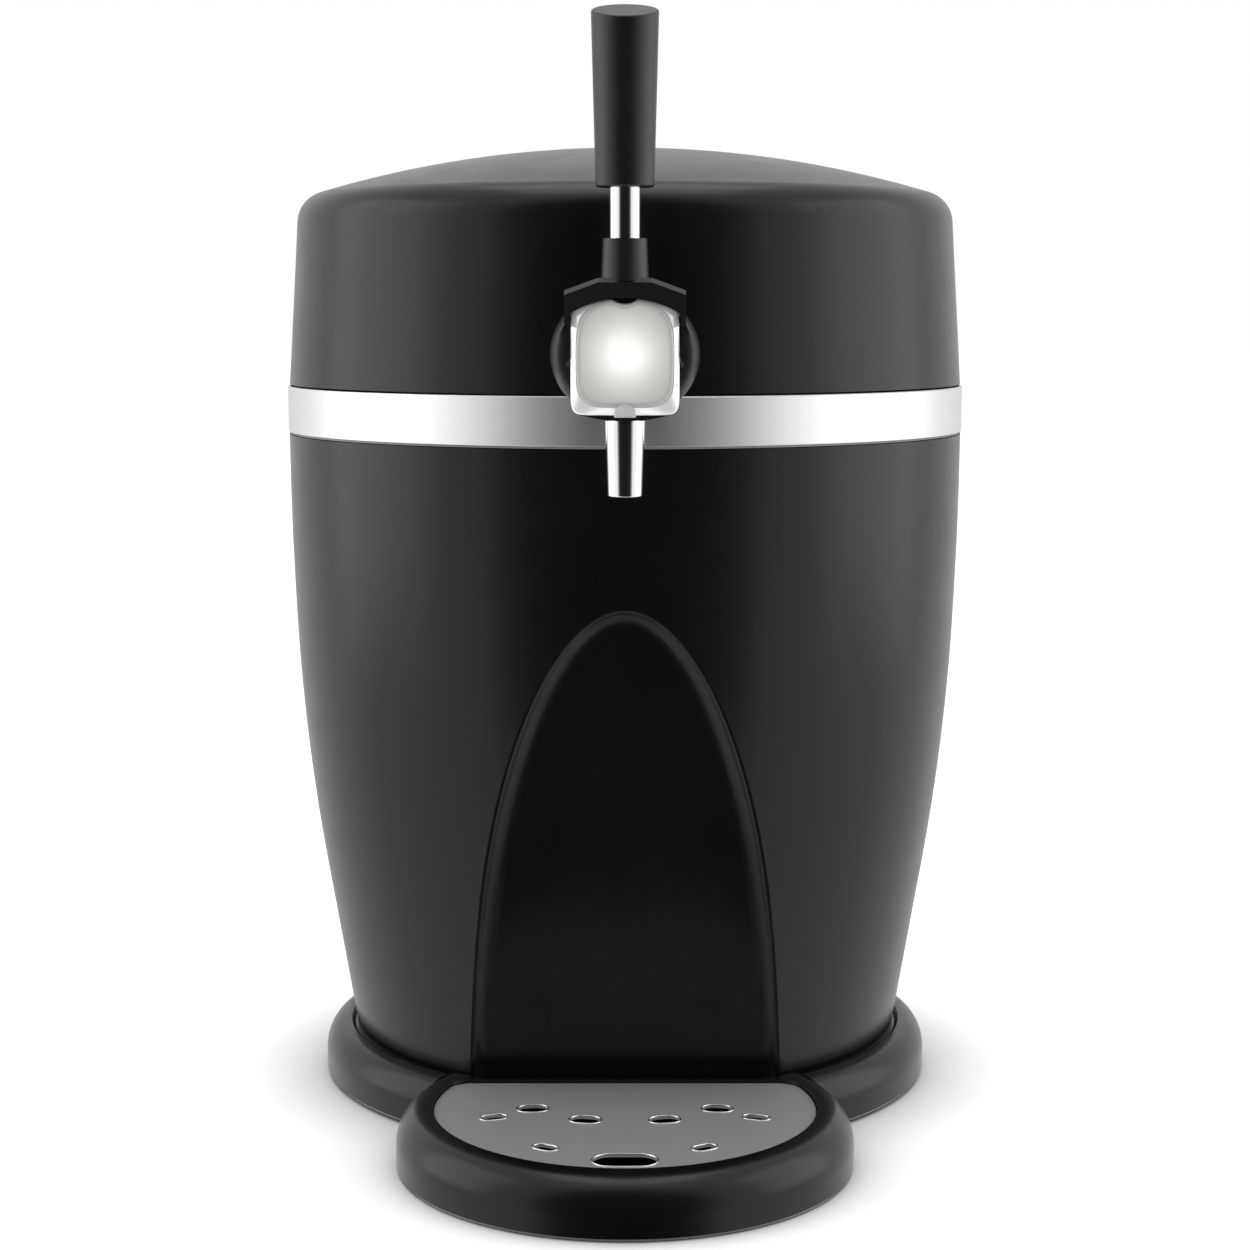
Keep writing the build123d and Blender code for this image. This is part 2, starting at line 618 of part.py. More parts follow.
def tray_form(grow, z0):
    """The tray's round, before it is fitted to the body."""
    r, crest = TRAY_R + grow, TRAY_CREST_Z + grow
    side = Polyline((0, z0), (r - TRAY_FOOT_EDGE, z0), (r, z0 + TRAY_FOOT_EDGE), (r, TRAY_WALL_TOP))
    shoulder = EllipticalCenterArc((TRAY_CREST_R, TRAY_WALL_TOP), r - TRAY_CREST_R,
                                   crest - TRAY_WALL_TOP, arc_size=90)
    return Pos(0, TRAY_Y, 0) * turned(side, shoulder, Polyline((TRAY_CREST_R, crest), (0, crest), (0, z0)))


def tray_round(grow=0.0, z0=-5.0):
    """The whole form of the tray, fitted to the body, its sides moved out by grow."""
    return tray_form(grow, z0) & tray_plan(grow, z0)


def plate_plan(grow=0.0):
    """Outline of the drip plate: a disc with a straight back and rounded corners."""
    disc = Pos(0, TRAY_Y) * Circle(PLATE_R + grow)
    disc &= Pos(0, PLATE_BACK_Y + grow - 2 * TRAY_R) * Rectangle(4 * TRAY_R, 4 * TRAY_R)
    return fillet(disc.vertices(), PLATE_CORNER_R + grow)


def plate_prism(grow, z0, z1):
    return Pos(0, 0, z0) * extrude(plate_plan(grow), z1 - z0)


# ============================ base ==========================================
def base_housing():
    shell = base_form() - tray_round(NOTCH_GAP)
    shell -= base_hollow() - tray_round(NOTCH_GAP + WALL)
    shell = joined(shell, [cyl_z(BASE_BOSS_R, BASE_PLATE_TOP_Z, SEAT_Z - 1, x, y) for x, y in BASE_BOSSES])
    shell = cut(shell, [cyl_z(SCREW_R + FIT, 0, SEAT_Z - WALL, x, y) for x, y in BASE_BOSSES])
    return shell - block(-LOOM_HALF, LOOM_HALF, *LOOM_Y, SEAT_Z - WALL - 1, SEAT_Z + 1)


def board_posts():
    posts = []
    for x, size in ((SUPPLY_X, SUPPLY_SIZE), (CONTROL_X, CONTROL_SIZE)):
        for dx, dy in corners(size[0] / 2 - POST_INSET, size[1] / 2 - POST_INSET):
            posts.append((x + dx, BOARD_Y + dy))
    return posts


def base_plate():
    """Flat cover that closes the base from below, with board posts and air slots."""
    edge = WALL + GAP
    plate = cyl_z(BASE_R - edge, BASE_LIFT, BASE_PLATE_TOP_Z) - tray_plan(NOTCH_GAP + edge)
    plate = cut(plate, [cyl_z(SCREW_R + FIT, 0, BASE_PLATE_TOP_Z + 1, x, y) for x, y in BASE_BOSSES])
    plate = cut(plate, [cyl_z(SCREW_HEAD_R + GAP, 0, BASE_SCREW_Z, x, y) for x, y in BASE_BOSSES])
    slot = extrude(SlotOverall(AIR_SLOT_LENGTH, AIR_SLOT_WIDTH), BASE_PLATE_TOP_Z + 1)
    rows = [BOARD_Y + (i - (AIR_SLOTS - 1) / 2) * AIR_SLOT_PITCH for i in range(AIR_SLOTS)]
    plate = cut(plate, [Pos(SUPPLY_X, y, 0) * slot for y in rows])
    return joined(plate, [cyl_z(POST_R, BASE_PLATE_TOP_Z - 0.5, BOARD_Z, x, y) for x, y in board_posts()])


def rubber_feet():
    pads = []
    for x, y in on_circle(4, FOOT_PITCH_R, start=45.0, y=KEG_Y):
        pad = cyl_z(FOOT_R, 0, BASE_LIFT, x, y)
        pads.append(chamfer(pad.edges().sort_by(Axis.Z)[0], BASE_LIFT / 3))
    return group(pads)


def base_screws():
    up = Rot(180, 0, 0) * screw(BASE_SCREW_LENGTH)
    return group([Pos(x, y, BASE_SCREW_Z) * up for x, y in BASE_BOSSES])


def board(x, size, blocks):
    """A circuit board on its posts, with its larger components on top."""
    top = BOARD_Z + BOARD_THICK
    half_x, half_y = size[0] / 2, size[1] / 2
    plate = block(x - half_x, x + half_x, BOARD_Y - half_y, BOARD_Y + half_y, BOARD_Z, top)
    for dx, dy, length, width, height in blocks:
        plate += block(x + dx - length / 2, x + dx + length / 2, BOARD_Y + dy - width / 2,
                       BOARD_Y + dy + width / 2, top - 0.2, top + height)
    return plate


def power_supply():
    supply = board(SUPPLY_X, SUPPLY_SIZE, SUPPLY_BLOCKS)
    top = BOARD_Z + BOARD_THICK
    cans = [cyl_z(CAN_R, top - 0.2, top + CAN_HEIGHT, SUPPLY_X + dx, BOARD_Y + dy) for dx, dy in SUPPLY_CANS]
    return joined(supply, cans)


def control_board():
    return board(CONTROL_X, CONTROL_SIZE, CONTROL_BLOCKS)


# ============================ body ==========================================
def body_shell():
    shell = body_form() - recess_form()
    edge = [e for e in shell.edges() if is_recess_edge(e)]
    shell = fillet(edge, RECESS_EDGE_R)
    shell -= body_form(WALL) - recess_form(WALL)
    shell = joined(shell, [wall_boss(x, z) for x, z in HOUSING_SCREWS + BRACKET_SCREWS])
    shell = cut(shell, [cyl_y(SCREW_R + FIT, 0, BODY_RIM_R + 1, x, z) for x, z in HOUSING_SCREWS])
    shell = cut(shell, [cyl_y(SCREW_R + FIT, 0, BODY_RIM_R + 1, x, z) for x, z in BRACKET_SCREWS])
    shell -= cooling_window(WINDOW_HALF)
    return shell - block(-LOOM_HALF, LOOM_HALF, 0, BODY_RIM_R, *LOOM_Z)


def is_recess_edge(edge):
    """True for the lines where the glass recess meets the outside of the body."""
    middle = edge @ 0.5
    if middle.Z < SEAT_Z + 1 or middle.Y > 0 or edge.geom_type == GeomType.CIRCLE:
        return False
    return hypot(middle.X, middle.Y) > body_radius(middle.Z) - 0.2 and abs(middle.X) <= RECESS_HALF_WIDTH


def wall_boss(x, z):
    """A screw boss on the inside of the body's rear wall."""
    rear = body_rear(x, z)
    return cyl_y(SCREW_BOSS_R, rear - WALL - BOSS_DEPTH, rear + WALL, x, z) & body_form(WALL / 2)


def cooling_window(half):
    return block(-half, half, LINER_R, BODY_RIM_R, COOL_Z - half, COOL_Z + half)


def body_foam():
    """Insulation between the chamber and the body."""
    foam = body_form(WALL + GAP) - recess_form(WALL + GAP)
    collar_r = BODY_RIM_R - 2 * WALL - 2 * GAP
    foam &= cyl_z(BODY_RIM_R, SEAT_Z + GAP, DECK_Z - DECK_SKIRT - GAP) \
        + cyl_z(collar_r, SEAT_Z + GAP, BODY_RIM_Z)
    foam -= cyl_z(LINER_R + GAP, CHAMBER_FLOOR_Z - LINER_WALL - GAP, DECK_Z, 0, KEG_Y)
    foam -= cooling_window(WINDOW_HALF) & block(-BODY_RIM_R, BODY_RIM_R, BLOCK_BACK_Y, BODY_RIM_R, 0, DECK_Z)
    foam -= block(-BLOCK_HALF_WIDTH - GAP, BLOCK_HALF_WIDTH + GAP, KEG_Y, BODY_RIM_R,
                  COOL_Z - BLOCK_HALF_HEIGHT - GAP, COOL_Z + BLOCK_HALF_HEIGHT + GAP)
    for x, z in HOUSING_SCREWS + BRACKET_SCREWS:
        rear = body_rear(x, z)
        foam -= cyl_y(SCREW_BOSS_R + GAP, rear - WALL - BOSS_DEPTH - SCREW_SPARE, rear, x, z)
    foam -= cyl_z(SENSOR_R + GAP, SENSOR_Z - GAP, SENSOR_Z + SENSOR_LENGTH + GAP, *SENSOR_XY)
    return foam - block(-LOOM_HALF, LOOM_HALF, LOOM_Y[0], BODY_RIM_R, SEAT_Z, LOOM_Z[1])


def chamber_liner():
    """Aluminium cup that holds the keg."""
    outer = cyl_z(LINER_R, CHAMBER_FLOOR_Z - LINER_WALL, LINER_TOP_Z, 0, KEG_Y)
    inner = cyl_z(CHAMBER_R, CHAMBER_FLOOR_Z, LINER_TOP_Z + 1, 0, KEG_Y)
    outer = fillet(outer.edges().sort_by(Axis.Z)[0], LINER_CORNER_R + LINER_WALL)
    inner = fillet(inner.edges().sort_by(Axis.Z)[0], LINER_CORNER_R)
    flange = cyl_z(LINER_R + LINER_FLANGE, LINER_TOP_Z - LINER_WALL, LINER_TOP_Z, 0, KEG_Y)
    return outer + flange - inner


def deck_ring():
    """Moulded ring that closes the top of the body and carries the band and gasket."""
    outer = BAND_R - BAND_THICK - GAP
    skirt = BODY_RIM_R - WALL - GAP
    lip_z, foot_z = BODY_RIM_Z + GAP, DECK_Z - DECK_SKIRT
    lip_r, lip_top = BAND_R - LIP_INSET, BAND_Z - GAP / 2
    outline = Polyline((0, foot_z), (skirt, foot_z), (skirt, lip_z), (lip_r, lip_z), (lip_r, lip_top),
                       (outer, lip_top), (outer, DECK_Z), (0, DECK_Z), (0, foot_z))
    ring = turned(outline)
    ring -= cyl_z(skirt - WALL, foot_z - 1, DECK_Z - WALL)
    ring -= cyl_z(LINER_R + GAP, foot_z, DECK_Z + 1, 0, KEG_Y)
    half = GASKET_WIDTH / 2 + FIT
    groove = cyl_z(GASKET_R + half, DECK_Z - GASKET_SINK, DECK_Z + 1) \
        - cyl_z(GASKET_R - half, DECK_Z - GASKET_SINK - 1, DECK_Z + 2)
    return ring - groove


def band():
    ring = cyl_z(BAND_R, BAND_Z, BAND_TOP_Z)
    ring = fillet(ring.edges().filter_by(GeomType.CIRCLE), BAND_THICK / 3)
    return ring - cyl_z(BAND_R - BAND_THICK, BAND_Z - 1, BAND_TOP_Z + 1)


def lid_gasket():
    top = PAN_Z - GAP
    ring = cyl_z(GASKET_R + GASKET_WIDTH / 2, DECK_Z - GASKET_SINK, top)
    ring -= cyl_z(GASKET_R - GASKET_WIDTH / 2, DECK_Z - GASKET_SINK - 1, top + 1)
    return fillet(ring.edges().group_by(Axis.Z)[-1], GASKET_WIDTH / 5)


# ============================ cooling =======================================
def cold_block():
    """Aluminium block with one face hollowed to the round of the chamber."""
    body = block(-BLOCK_HALF_WIDTH, BLOCK_HALF_WIDTH, KEG_Y, BLOCK_BACK_Y,
                 COOL_Z - BLOCK_HALF_HEIGHT, COOL_Z + BLOCK_HALF_HEIGHT)
    body -= cyl_z(LINER_R + FIT, 0, DECK_Z, 0, KEG_Y)
    return cut(body, sink_screw_holes(BLOCK_BACK_Y - SINK_SCREW_BITE, BLOCK_BACK_Y + 1))


def sink_screw_holes(y0, y1):
    return [cyl_y(SCREW_R + FIT, y0, y1, x, COOL_Z) for x in (-SINK_SCREW_X, SINK_SCREW_X)]


def peltier_module():
    half = PELTIER_SIDE / 2
    return block(-half, half, BLOCK_BACK_Y, SINK_Y, COOL_Z - half, COOL_Z + half)


def heat_sink():
    half = SINK_SIDE / 2
    sink = block(-half, half, SINK_Y, SINK_Y + SINK_BASE, COOL_Z - half, COOL_Z + half)
    pitch = (SINK_SIDE - FIN_THICK) / (FIN_COUNT - 1)
    for i in range(FIN_COUNT):
        x = -half + i * pitch
        sink += block(x, x + FIN_THICK, SINK_Y + SINK_BASE - 0.5, SINK_Y + SINK_DEPTH,
                      COOL_Z - half, COOL_Z + half)
    well = [cyl_y(SCREW_HEAD_R + 2 * GAP, SINK_Y + SINK_BASE, SINK_Y + SINK_DEPTH + 1, x, COOL_Z)
            for x in (-SINK_SCREW_X, SINK_SCREW_X)]
    return cut(cut(sink, well), sink_screw_holes(SINK_Y - 1, SINK_Y + SINK_BASE + 1))


def sink_screws():
    length = SINK_BASE + PELTIER_THICK + SINK_SCREW_BITE - 1
    back = Rot(-90, 0, 0) * screw(length)
    return group([Pos(x, SINK_Y + SINK_BASE, COOL_Z) * back for x in (-SINK_SCREW_X, SINK_SCREW_X)])


def fan_frame():
    half = FAN_SIDE / 2
    frame = rear_plate(half, half, FAN_CORNER_R, FAN_FRONT_Y, FAN_REAR_Y, 0, COOL_Z)
    frame -= cyl_y(FAN_BORE_R, FAN_FRONT_Y - 1, FAN_REAR_Y + 1, 0, COOL_Z)
    frame = cut(frame, [cyl_y(SCREW_R + FIT, FAN_FRONT_Y - 1, FAN_REAR_Y + 1, x, z) for x, z in FAN_HOLES])
    motor = cyl_y(HUB_R, FAN_FRONT_Y, FAN_FRONT_Y + MOTOR_PLATE, 0, COOL_Z)
    strut = block(-STRUT_HALF, STRUT_HALF, FAN_FRONT_Y, FAN_FRONT_Y + MOTOR_PLATE, 0, FAN_BORE_R + 0.5)
    struts = [Pos(0, 0, COOL_Z) * Rot(0, angle, 0) * strut for angle in (60, 180, 300)]
    frame = joined(frame, [motor] + struts)
    return frame - cyl_y(SHAFT_R + FIT, FAN_FRONT_Y - 1, FAN_REAR_Y, 0, COOL_Z)


def fan_rotor():
    """Hub with curved blades and the shaft that runs in the motor plate."""
    y0, y1 = FAN_FRONT_Y + MOTOR_PLATE + RUNNING, FAN_REAR_Y - RUNNING
    rotor = cyl_y(HUB_R, y0, y1, 0, COOL_Z) + cyl_y(SHAFT_R, FAN_FRONT_Y + GAP, y0 + 1, 0, COOL_Z)
    reach = FAN_BORE_R - RUNNING
    blade = Box(BLADE_WIDTH, BLADE_THICK, reach - HUB_R + 2)
    blade = Pos(0, 0, (reach + HUB_R - 2) / 2) * Rot(0, 0, BLADE_PITCH) * blade
    ring = cyl_y(reach, y0, y1, 0, 0)
    for i in range(FAN_BLADES):
        turned_blade = Pos(0, (y0 + y1) / 2, 0) * Rot(0, 360.0 * i / FAN_BLADES, 0) * blade
        rotor += Pos(0, 0, COOL_Z) * (turned_blade & ring)
    return rotor


# ============================ rear housing ==================================
def rear_housing():
    """Cover over the cooler, the mains inlet and the switch."""
    outer = rear_plate(HOUSING_HALF, HOUSING_HALF_Z, HOUSING_CORNER_R, 0, HOUSING_BACK_Y, 0, HOUSING_MID_Z)
    outer = fillet(outer.faces().sort_by(Axis.Y)[-1].edges(), HOUSING_EDGE_R)
    inner = rear_plate(HOUSING_HALF - WALL, HOUSING_HALF_Z - WALL, HOUSING_CORNER_R - WALL,
                       -1, HOUSING_BACK_Y - HOUSING_BACK_WALL, 0, HOUSING_MID_Z)
    towers = [cyl_y(SCREW_BOSS_R, 0, HOUSING_BACK_Y - 1, x, z) for x, z in HOUSING_SCREWS]
    cover = joined(outer - inner, towers) - body_form(-GAP)
    cover = cut(cover, [cyl_y(SCREW_R + FIT, 0, HOUSING_BACK_Y + 1, x, z) for x, z in HOUSING_SCREWS])
    cover = cut(cover, [cyl_y(SCREW_HEAD_R + GAP, body_rear(x, z) + HOUSING_GRIP, HOUSING_BACK_Y + 1, x, z)
                        for x, z in HOUSING_SCREWS])
    half = GRILLE_SIDE / 2 + GAP
    cover -= rear_plate(half, half, GRILLE_CORNER_R + GAP, GRILLE_Y, HOUSING_BACK_Y + 1, 0, COOL_Z)
    half = GRILLE_OPENING / 2
    cover -= rear_plate(half, half, GRILLE_CORNER_R, FAN_FRONT_Y, HOUSING_BACK_Y, 0, COOL_Z)
    cover = cut(cover, [cyl_y(SMALL_SCREW_R + FIT, FAN_FRONT_Y, HOUSING_BACK_Y + 1, x, z)
                        for x, z in GRILLE_HOLES + inlet_screw_places()])
    cover = cut(cover, intake_slots())
    cover -= rear_plate(INLET_WIDTH / 2 + FIT, INLET_HEIGHT / 2 + FIT, 2, FAN_FRONT_Y, HOUSING_BACK_Y + 1,
                        INLET_X, INLET_Z)
    half_w, half_h = SWITCH_WIDTH / 2 + FIT, SWITCH_HEIGHT / 2 + FIT
    return cover - block(SWITCH_X - half_w, SWITCH_X + half_w, FAN_FRONT_Y, HOUSING_BACK_Y + 1,
                         INLET_Z - half_h, INLET_Z + half_h)


def intake_slots():
    slot = Plane.YZ * SlotOverall(INTAKE_LENGTH, INTAKE_WIDTH)
    slot = extrude(slot, HOUSING_HALF + 1, both=True)
    middle = (INTAKE_SLOTS - 1) / 2
    return [Pos(0, INTAKE_Y, COOL_Z + (i - middle) * INTAKE_PITCH) * slot for i in range(INTAKE_SLOTS)]


def inlet_screw_places():
    return [(INLET_X + side * INLET_SCREW_PITCH / 2, INLET_Z) for side in (-1, 1)]


def wall_screw(x, z, rear, grip):
    """A screw through a piece into a boss behind a rear wall."""
    length = grip + WALL + BOSS_DEPTH - SCREW_SPARE
    return Pos(x, rear + grip, z) * Rot(-90, 0, 0) * screw(length)


def housing_screws():
    return group([wall_screw(x, z, body_rear(x, z), HOUSING_GRIP) for x, z in HOUSING_SCREWS])


def rear_grille():
    half = GRILLE_SIDE / 2
    grille = rear_plate(half, half, GRILLE_CORNER_R, GRILLE_Y, HOUSING_BACK_Y, 0, COOL_Z)
    pitch = (GRILLE_REACH - GRILLE_HUB_R) / GRILLE_RINGS
    rings = []
    for i in range(GRILLE_RINGS):
        outer, inner = GRILLE_HUB_R + (i + 1) * pitch - GRILLE_BAR, GRILLE_HUB_R + i * pitch
        rings.append(cyl_y(outer, GRILLE_Y - 1, HOUSING_BACK_Y + 1, 0, COOL_Z)
                     - cyl_y(inner, GRILLE_Y - 2, HOUSING_BACK_Y + 2, 0, COOL_Z))
    spoke = block(-GRILLE_SPOKE / 2, GRILLE_SPOKE / 2, GRILLE_Y, HOUSING_BACK_Y, -GRILLE_REACH, GRILLE_REACH)
    spokes = [Pos(0, 0, COOL_Z) * Rot(0, angle, 0) * spoke for angle in (0, 90)]
    grille = joined(cut(grille, rings), spokes)
    grille = cut(grille, [cyl_y(SCREW_R + FIT, GRILLE_Y - 1, HOUSING_BACK_Y + 1, x, z) for x, z in FAN_HOLES])
    return cut(grille, [cyl_y(SMALL_SCREW_R + FIT, GRILLE_Y - 1, HOUSING_BACK_Y + 1, x, z)
                        for x, z in GRILLE_HOLES])


def rear_screws(places, length, head_r, shank_r, y):
    one = Rot(-90, 0, 0) * screw(length, head_r, shank_r)
    return group([Pos(x, y, z) * one for x, z in places])


def fan_screws():
    return rear_screws(FAN_HOLES, GRILLE_THICK + FAN_DEPTH, SCREW_HEAD_R, SCREW_R, HOUSING_BACK_Y)


def panel_screws():
    """Small screws of the grille and of the mains inlet."""
    length = HOUSING_BACK_WALL
    grille = rear_screws(GRILLE_HOLES, length, SMALL_HEAD_R, SMALL_SCREW_R, HOUSING_BACK_Y)
    inlet = rear_screws(inlet_screw_places(), length, SMALL_HEAD_R, SMALL_SCREW_R,
                        HOUSING_BACK_Y + INLET_FLANGE)
    return group(list(grille.solids()) + list(inlet.solids()))


def mains_inlet():
    """Panel inlet for a mains lead: flange, shroud with its socket, three pins and rear tabs."""
    half_w, half_h = INLET_WIDTH / 2, INLET_HEIGHT / 2
    inner_y = HOUSING_BACK_Y - INLET_DEPTH
    body = rear_plate(INLET_SCREW_PITCH / 2 + INLET_EAR, half_h + INLET_WALL, INLET_EAR, HOUSING_BACK_Y,
                      HOUSING_BACK_Y + INLET_FLANGE, INLET_X, INLET_Z)
    body += rear_plate(half_w, half_h, INLET_WALL, inner_y, HOUSING_BACK_Y + 0.5, INLET_X, INLET_Z)
    body -= rear_plate(half_w - INLET_WALL, half_h - INLET_WALL, INLET_WALL, inner_y + 2 * INLET_WALL,
                       HOUSING_BACK_Y + INLET_FLANGE + 1, INLET_X, INLET_Z)
    for dx, dz in INLET_PINS:
        x, z = INLET_X + dx, INLET_Z + dz
        body += block(x - 1, x + 1, inner_y - INLET_TAB, HOUSING_BACK_Y - INLET_WALL, z - 2, z + 2)
    return cut(body, [cyl_y(SMALL_SCREW_R + FIT, inner_y, HOUSING_BACK_Y + 5, x, z)
                      for x, z in inlet_screw_places()])


def switch_frame():
    half_w, half_h = SWITCH_WIDTH / 2, SWITCH_HEIGHT / 2
    inner_y = HOUSING_BACK_Y - SWITCH_DEPTH
    frame = rear_plate(half_w + SWITCH_RIM, half_h + SWITCH_RIM, SWITCH_RIM, HOUSING_BACK_Y,
                       HOUSING_BACK_Y + THIN, SWITCH_X, INLET_Z)
    frame += block(SWITCH_X - half_w, SWITCH_X + half_w, inner_y, HOUSING_BACK_Y + 0.2,
                   INLET_Z - half_h, INLET_Z + half_h)
    half_w, half_h = half_w - SWITCH_WALL, half_h - SWITCH_WALL
    frame -= block(SWITCH_X - half_w, SWITCH_X + half_w, inner_y + SWITCH_RIM, HOUSING_BACK_Y + 5,
                   INLET_Z - half_h, INLET_Z + half_h)
    frame -= cyl_x(ROCKER_PIN_R + FIT, SWITCH_X - SWITCH_WIDTH, SWITCH_X + SWITCH_WIDTH, ROCKER_Y, INLET_Z)
    tabs = [block(SWITCH_X + dx - 0.4, SWITCH_X + dx + 0.4, inner_y - INLET_TAB, inner_y + 1,
                  INLET_Z + dz - 2.4, INLET_Z + dz + 2.4) for dx in (-3, 3) for dz in (-5, 5)]
    return joined(frame, tabs)


def rocker_switch():
    """Rocker shown tipped to off; its two faces meet in a shallow V."""
    half_w = SWITCH_WIDTH / 2 - SWITCH_WALL - GAP
    half_h = SWITCH_HEIGHT / 2 - SWITCH_WALL - ROCKER_PLAY
    rear = ROCKER_SINK + THIN
    outline = Polyline((rear + ROCKER_RISE, half_h), (rear, 0), (rear + ROCKER_RISE, -half_h),
                       (0, -half_h), (-ROCKER_SINK, 0), (0, half_h), close=True)
    rocker = extrude(make_face(Plane.YZ * outline), half_w, both=True)
    rocker &= cyl_x(hypot(half_h, rear), -half_w, half_w)
    pin_half = half_w + SWITCH_WALL + GAP / 2
    rocker += cyl_x(ROCKER_PIN_R, -pin_half, pin_half)
    return Pos(SWITCH_X, ROCKER_Y, INLET_Z) * Rot(-ROCKER_TILT, 0, 0) * rocker


# ============================ hinge =========================================
def hinge_bracket():
    """Fixed half of the hinge, on the body's rear wall behind the band."""
    plate = block(-HINGE_HALF, HINGE_HALF, 0, HINGE_BACK_Y, HINGE_Z - BRACKET_DROP, HINGE_Z)
    foot = plate.edges().filter_by(Axis.X).sort_by(Axis.Y)[-2:].sort_by(Axis.Z)[0]
    plate = chamfer(foot, HINGE_TAPER) + cyl_x(KNUCKLE_R, -HINGE_HALF, HINGE_HALF, HINGE_Y, HINGE_Z)
    plate -= body_form(-GAP / 2) + cyl_z(BAND_R + GAP, BODY_RIM_Z - 1, LID_Z)
    plate -= cyl_x(HINGE_PIN_R + FIT, -HINGE_HALF - 1, HINGE_HALF + 1, HINGE_Y, HINGE_Z)
    return cut(plate, hinge_screw_holes(BRACKET_SCREWS, body_rear))


def hinge_screw_holes(places, rear_of):
    """Clearance holes and sunk seats for screws along Y."""
    holes = []
    for x, z in places:
        holes.append(cyl_y(SCREW_R + FIT, 0, HINGE_BACK_Y + 1, x, z))
        holes.append(cyl_y(SCREW_HEAD_R + GAP, rear_of(x, z) + HINGE_GRIP, HINGE_BACK_Y + KNUCKLE_R, x, z))
    return holes


def hinge_leaves():
    """Moving halves of the hinge, one each side, on the lid's rear wall."""
    leaves = []
    for side in (-1, 1):
        x0, x1 = sorted((side * (HINGE_HALF + GAP), side * (HINGE_HALF + GAP + LEAF_WIDTH)))
        leaf = block(x0, x1, 0, HINGE_BACK_Y, LID_Z + GAP, HINGE_Z + LEAF_RISE)
        head = leaf.edges().filter_by(Axis.X).sort_by(Axis.Y)[-2:].sort_by(Axis.Z)[-1]
        leaf = chamfer(head, HINGE_TAPER) - lid_form(-GAP / 2)
        leaf += block(x0, x1, BAND_R + 3 * GAP, HINGE_Y, HINGE_Z, LID_Z + 2)
        leaf += cyl_x(KNUCKLE_R, x0, x1, HINGE_Y, HINGE_Z)
        leaf -= cyl_x(HINGE_PIN_R + FIT, x0 - 1, x1 + 1, HINGE_Y, HINGE_Z)
        leaves.append(leaf)
    return group([cut(leaf, hinge_screw_holes(LEAF_SCREWS, lid_rear)) for leaf in leaves])


def hinge_pin():
    half = HINGE_HALF + GAP + LEAF_WIDTH
    pin = cyl_x(HINGE_PIN_R, -half, half, HINGE_Y, HINGE_Z)
    return chamfer(pin.edges().filter_by(GeomType.CIRCLE), 0.5)


def hinge_bracket_screws():
    return group([wall_screw(x, z, body_rear(x, z), HINGE_GRIP) for x, z in BRACKET_SCREWS])


def hinge_leaf_screws():
    return group([wall_screw(x, z, lid_rear(x, z), HINGE_GRIP) for x, z in LEAF_SCREWS])


# ============================ lid ===========================================
def lid_rear(x, z):
    """How far back the lid's side is at a place on its rear."""
    reach = 2 * LID_FOOT_R
    level = lid_form() & block(-reach, reach, -reach, reach, z - 0.05, z + 0.05)
    return sqrt(level.bounding_box().max.X ** 2 - x ** 2)


def leaf_bosses(grow, spare=0.0):
    """Round posts behind the leaf screws, on the inside of the lid's rear wall."""
    return [cyl_y(SCREW_BOSS_R + grow, lid_rear(x, z) - WALL - BOSS_DEPTH - spare, LID_FOOT_R, x, z)
            for x, z in LEAF_SCREWS]


def lid_shell():
    posts = [cyl_z(LID_BOSS_R, PAN_Z + WALL, LID_TOP_Z, x, y) for x, y in LID_BOSSES] + leaf_bosses(0)
    middle = lid_form(WALL / 2)
    shell = joined(lid_form() - lid_form(WALL), [post & middle for post in posts])
    bore_top = PAN_Z + WALL + LID_SCREW_LENGTH
    shell = cut(shell, [cyl_z(SCREW_R + FIT, 0, bore_top, x, y) for x, y in LID_BOSSES])
    for x, z in LEAF_SCREWS:
        shell -= cyl_y(SCREW_R + FIT, lid_rear(x, z) - WALL - BOSS_DEPTH, LID_FOOT_R + 1, x, z)
    return shell - cyl_y(SHANK_R + GAP, -LID_FOOT_R - 1, 0, 0, TAP_Z)


def lid_liner():
    """Inner pan of the lid: a flat rim and a round pocket over the keg."""
    pocket_r = PAN_R + PAN_WALL
    pan = cyl_z(PAN_RIM_R, PAN_Z, PAN_Z + WALL)
    pan += cyl_z(pocket_r, PAN_Z, PAN_CEILING_Z + PAN_WALL, 0, KEG_Y)
    pan -= cyl_z(PAN_R, PAN_Z - 1, PAN_CEILING_Z, 0, KEG_Y)
    seat = cyl_y(SHANK_SEAT_R, KEG_Y - pocket_r, SHANK_SEAT_Y, 0, TAP_Z)
    pan += seat & cyl_z(pocket_r - PAN_WALL / 2, PAN_Z, PAN_CEILING_Z, 0, KEG_Y)
    pan -= cyl_y(SHANK_R + GAP, KEG_Y - pocket_r - 5, 0, 0, TAP_Z)
    pan = cut(pan, [cyl_z(SCREW_R + FIT, PAN_Z - 1, PAN_Z + WALL + 1, x, y) for x, y in LID_BOSSES])
    head_r, head_z = SCREW_HEAD_R + GAP, PAN_Z + LID_SCREW_SINK
    pan = cut(pan, [cyl_z(head_r, PAN_Z - 1, head_z, x, y) for x, y in LID_BOSSES])
    return cut(pan, [cyl_z(SMALL_SCREW_R + FIT, PAN_CEILING_Z - 1, LID_TOP_Z, x, y)
                     for x, y in strap_screw_places()])


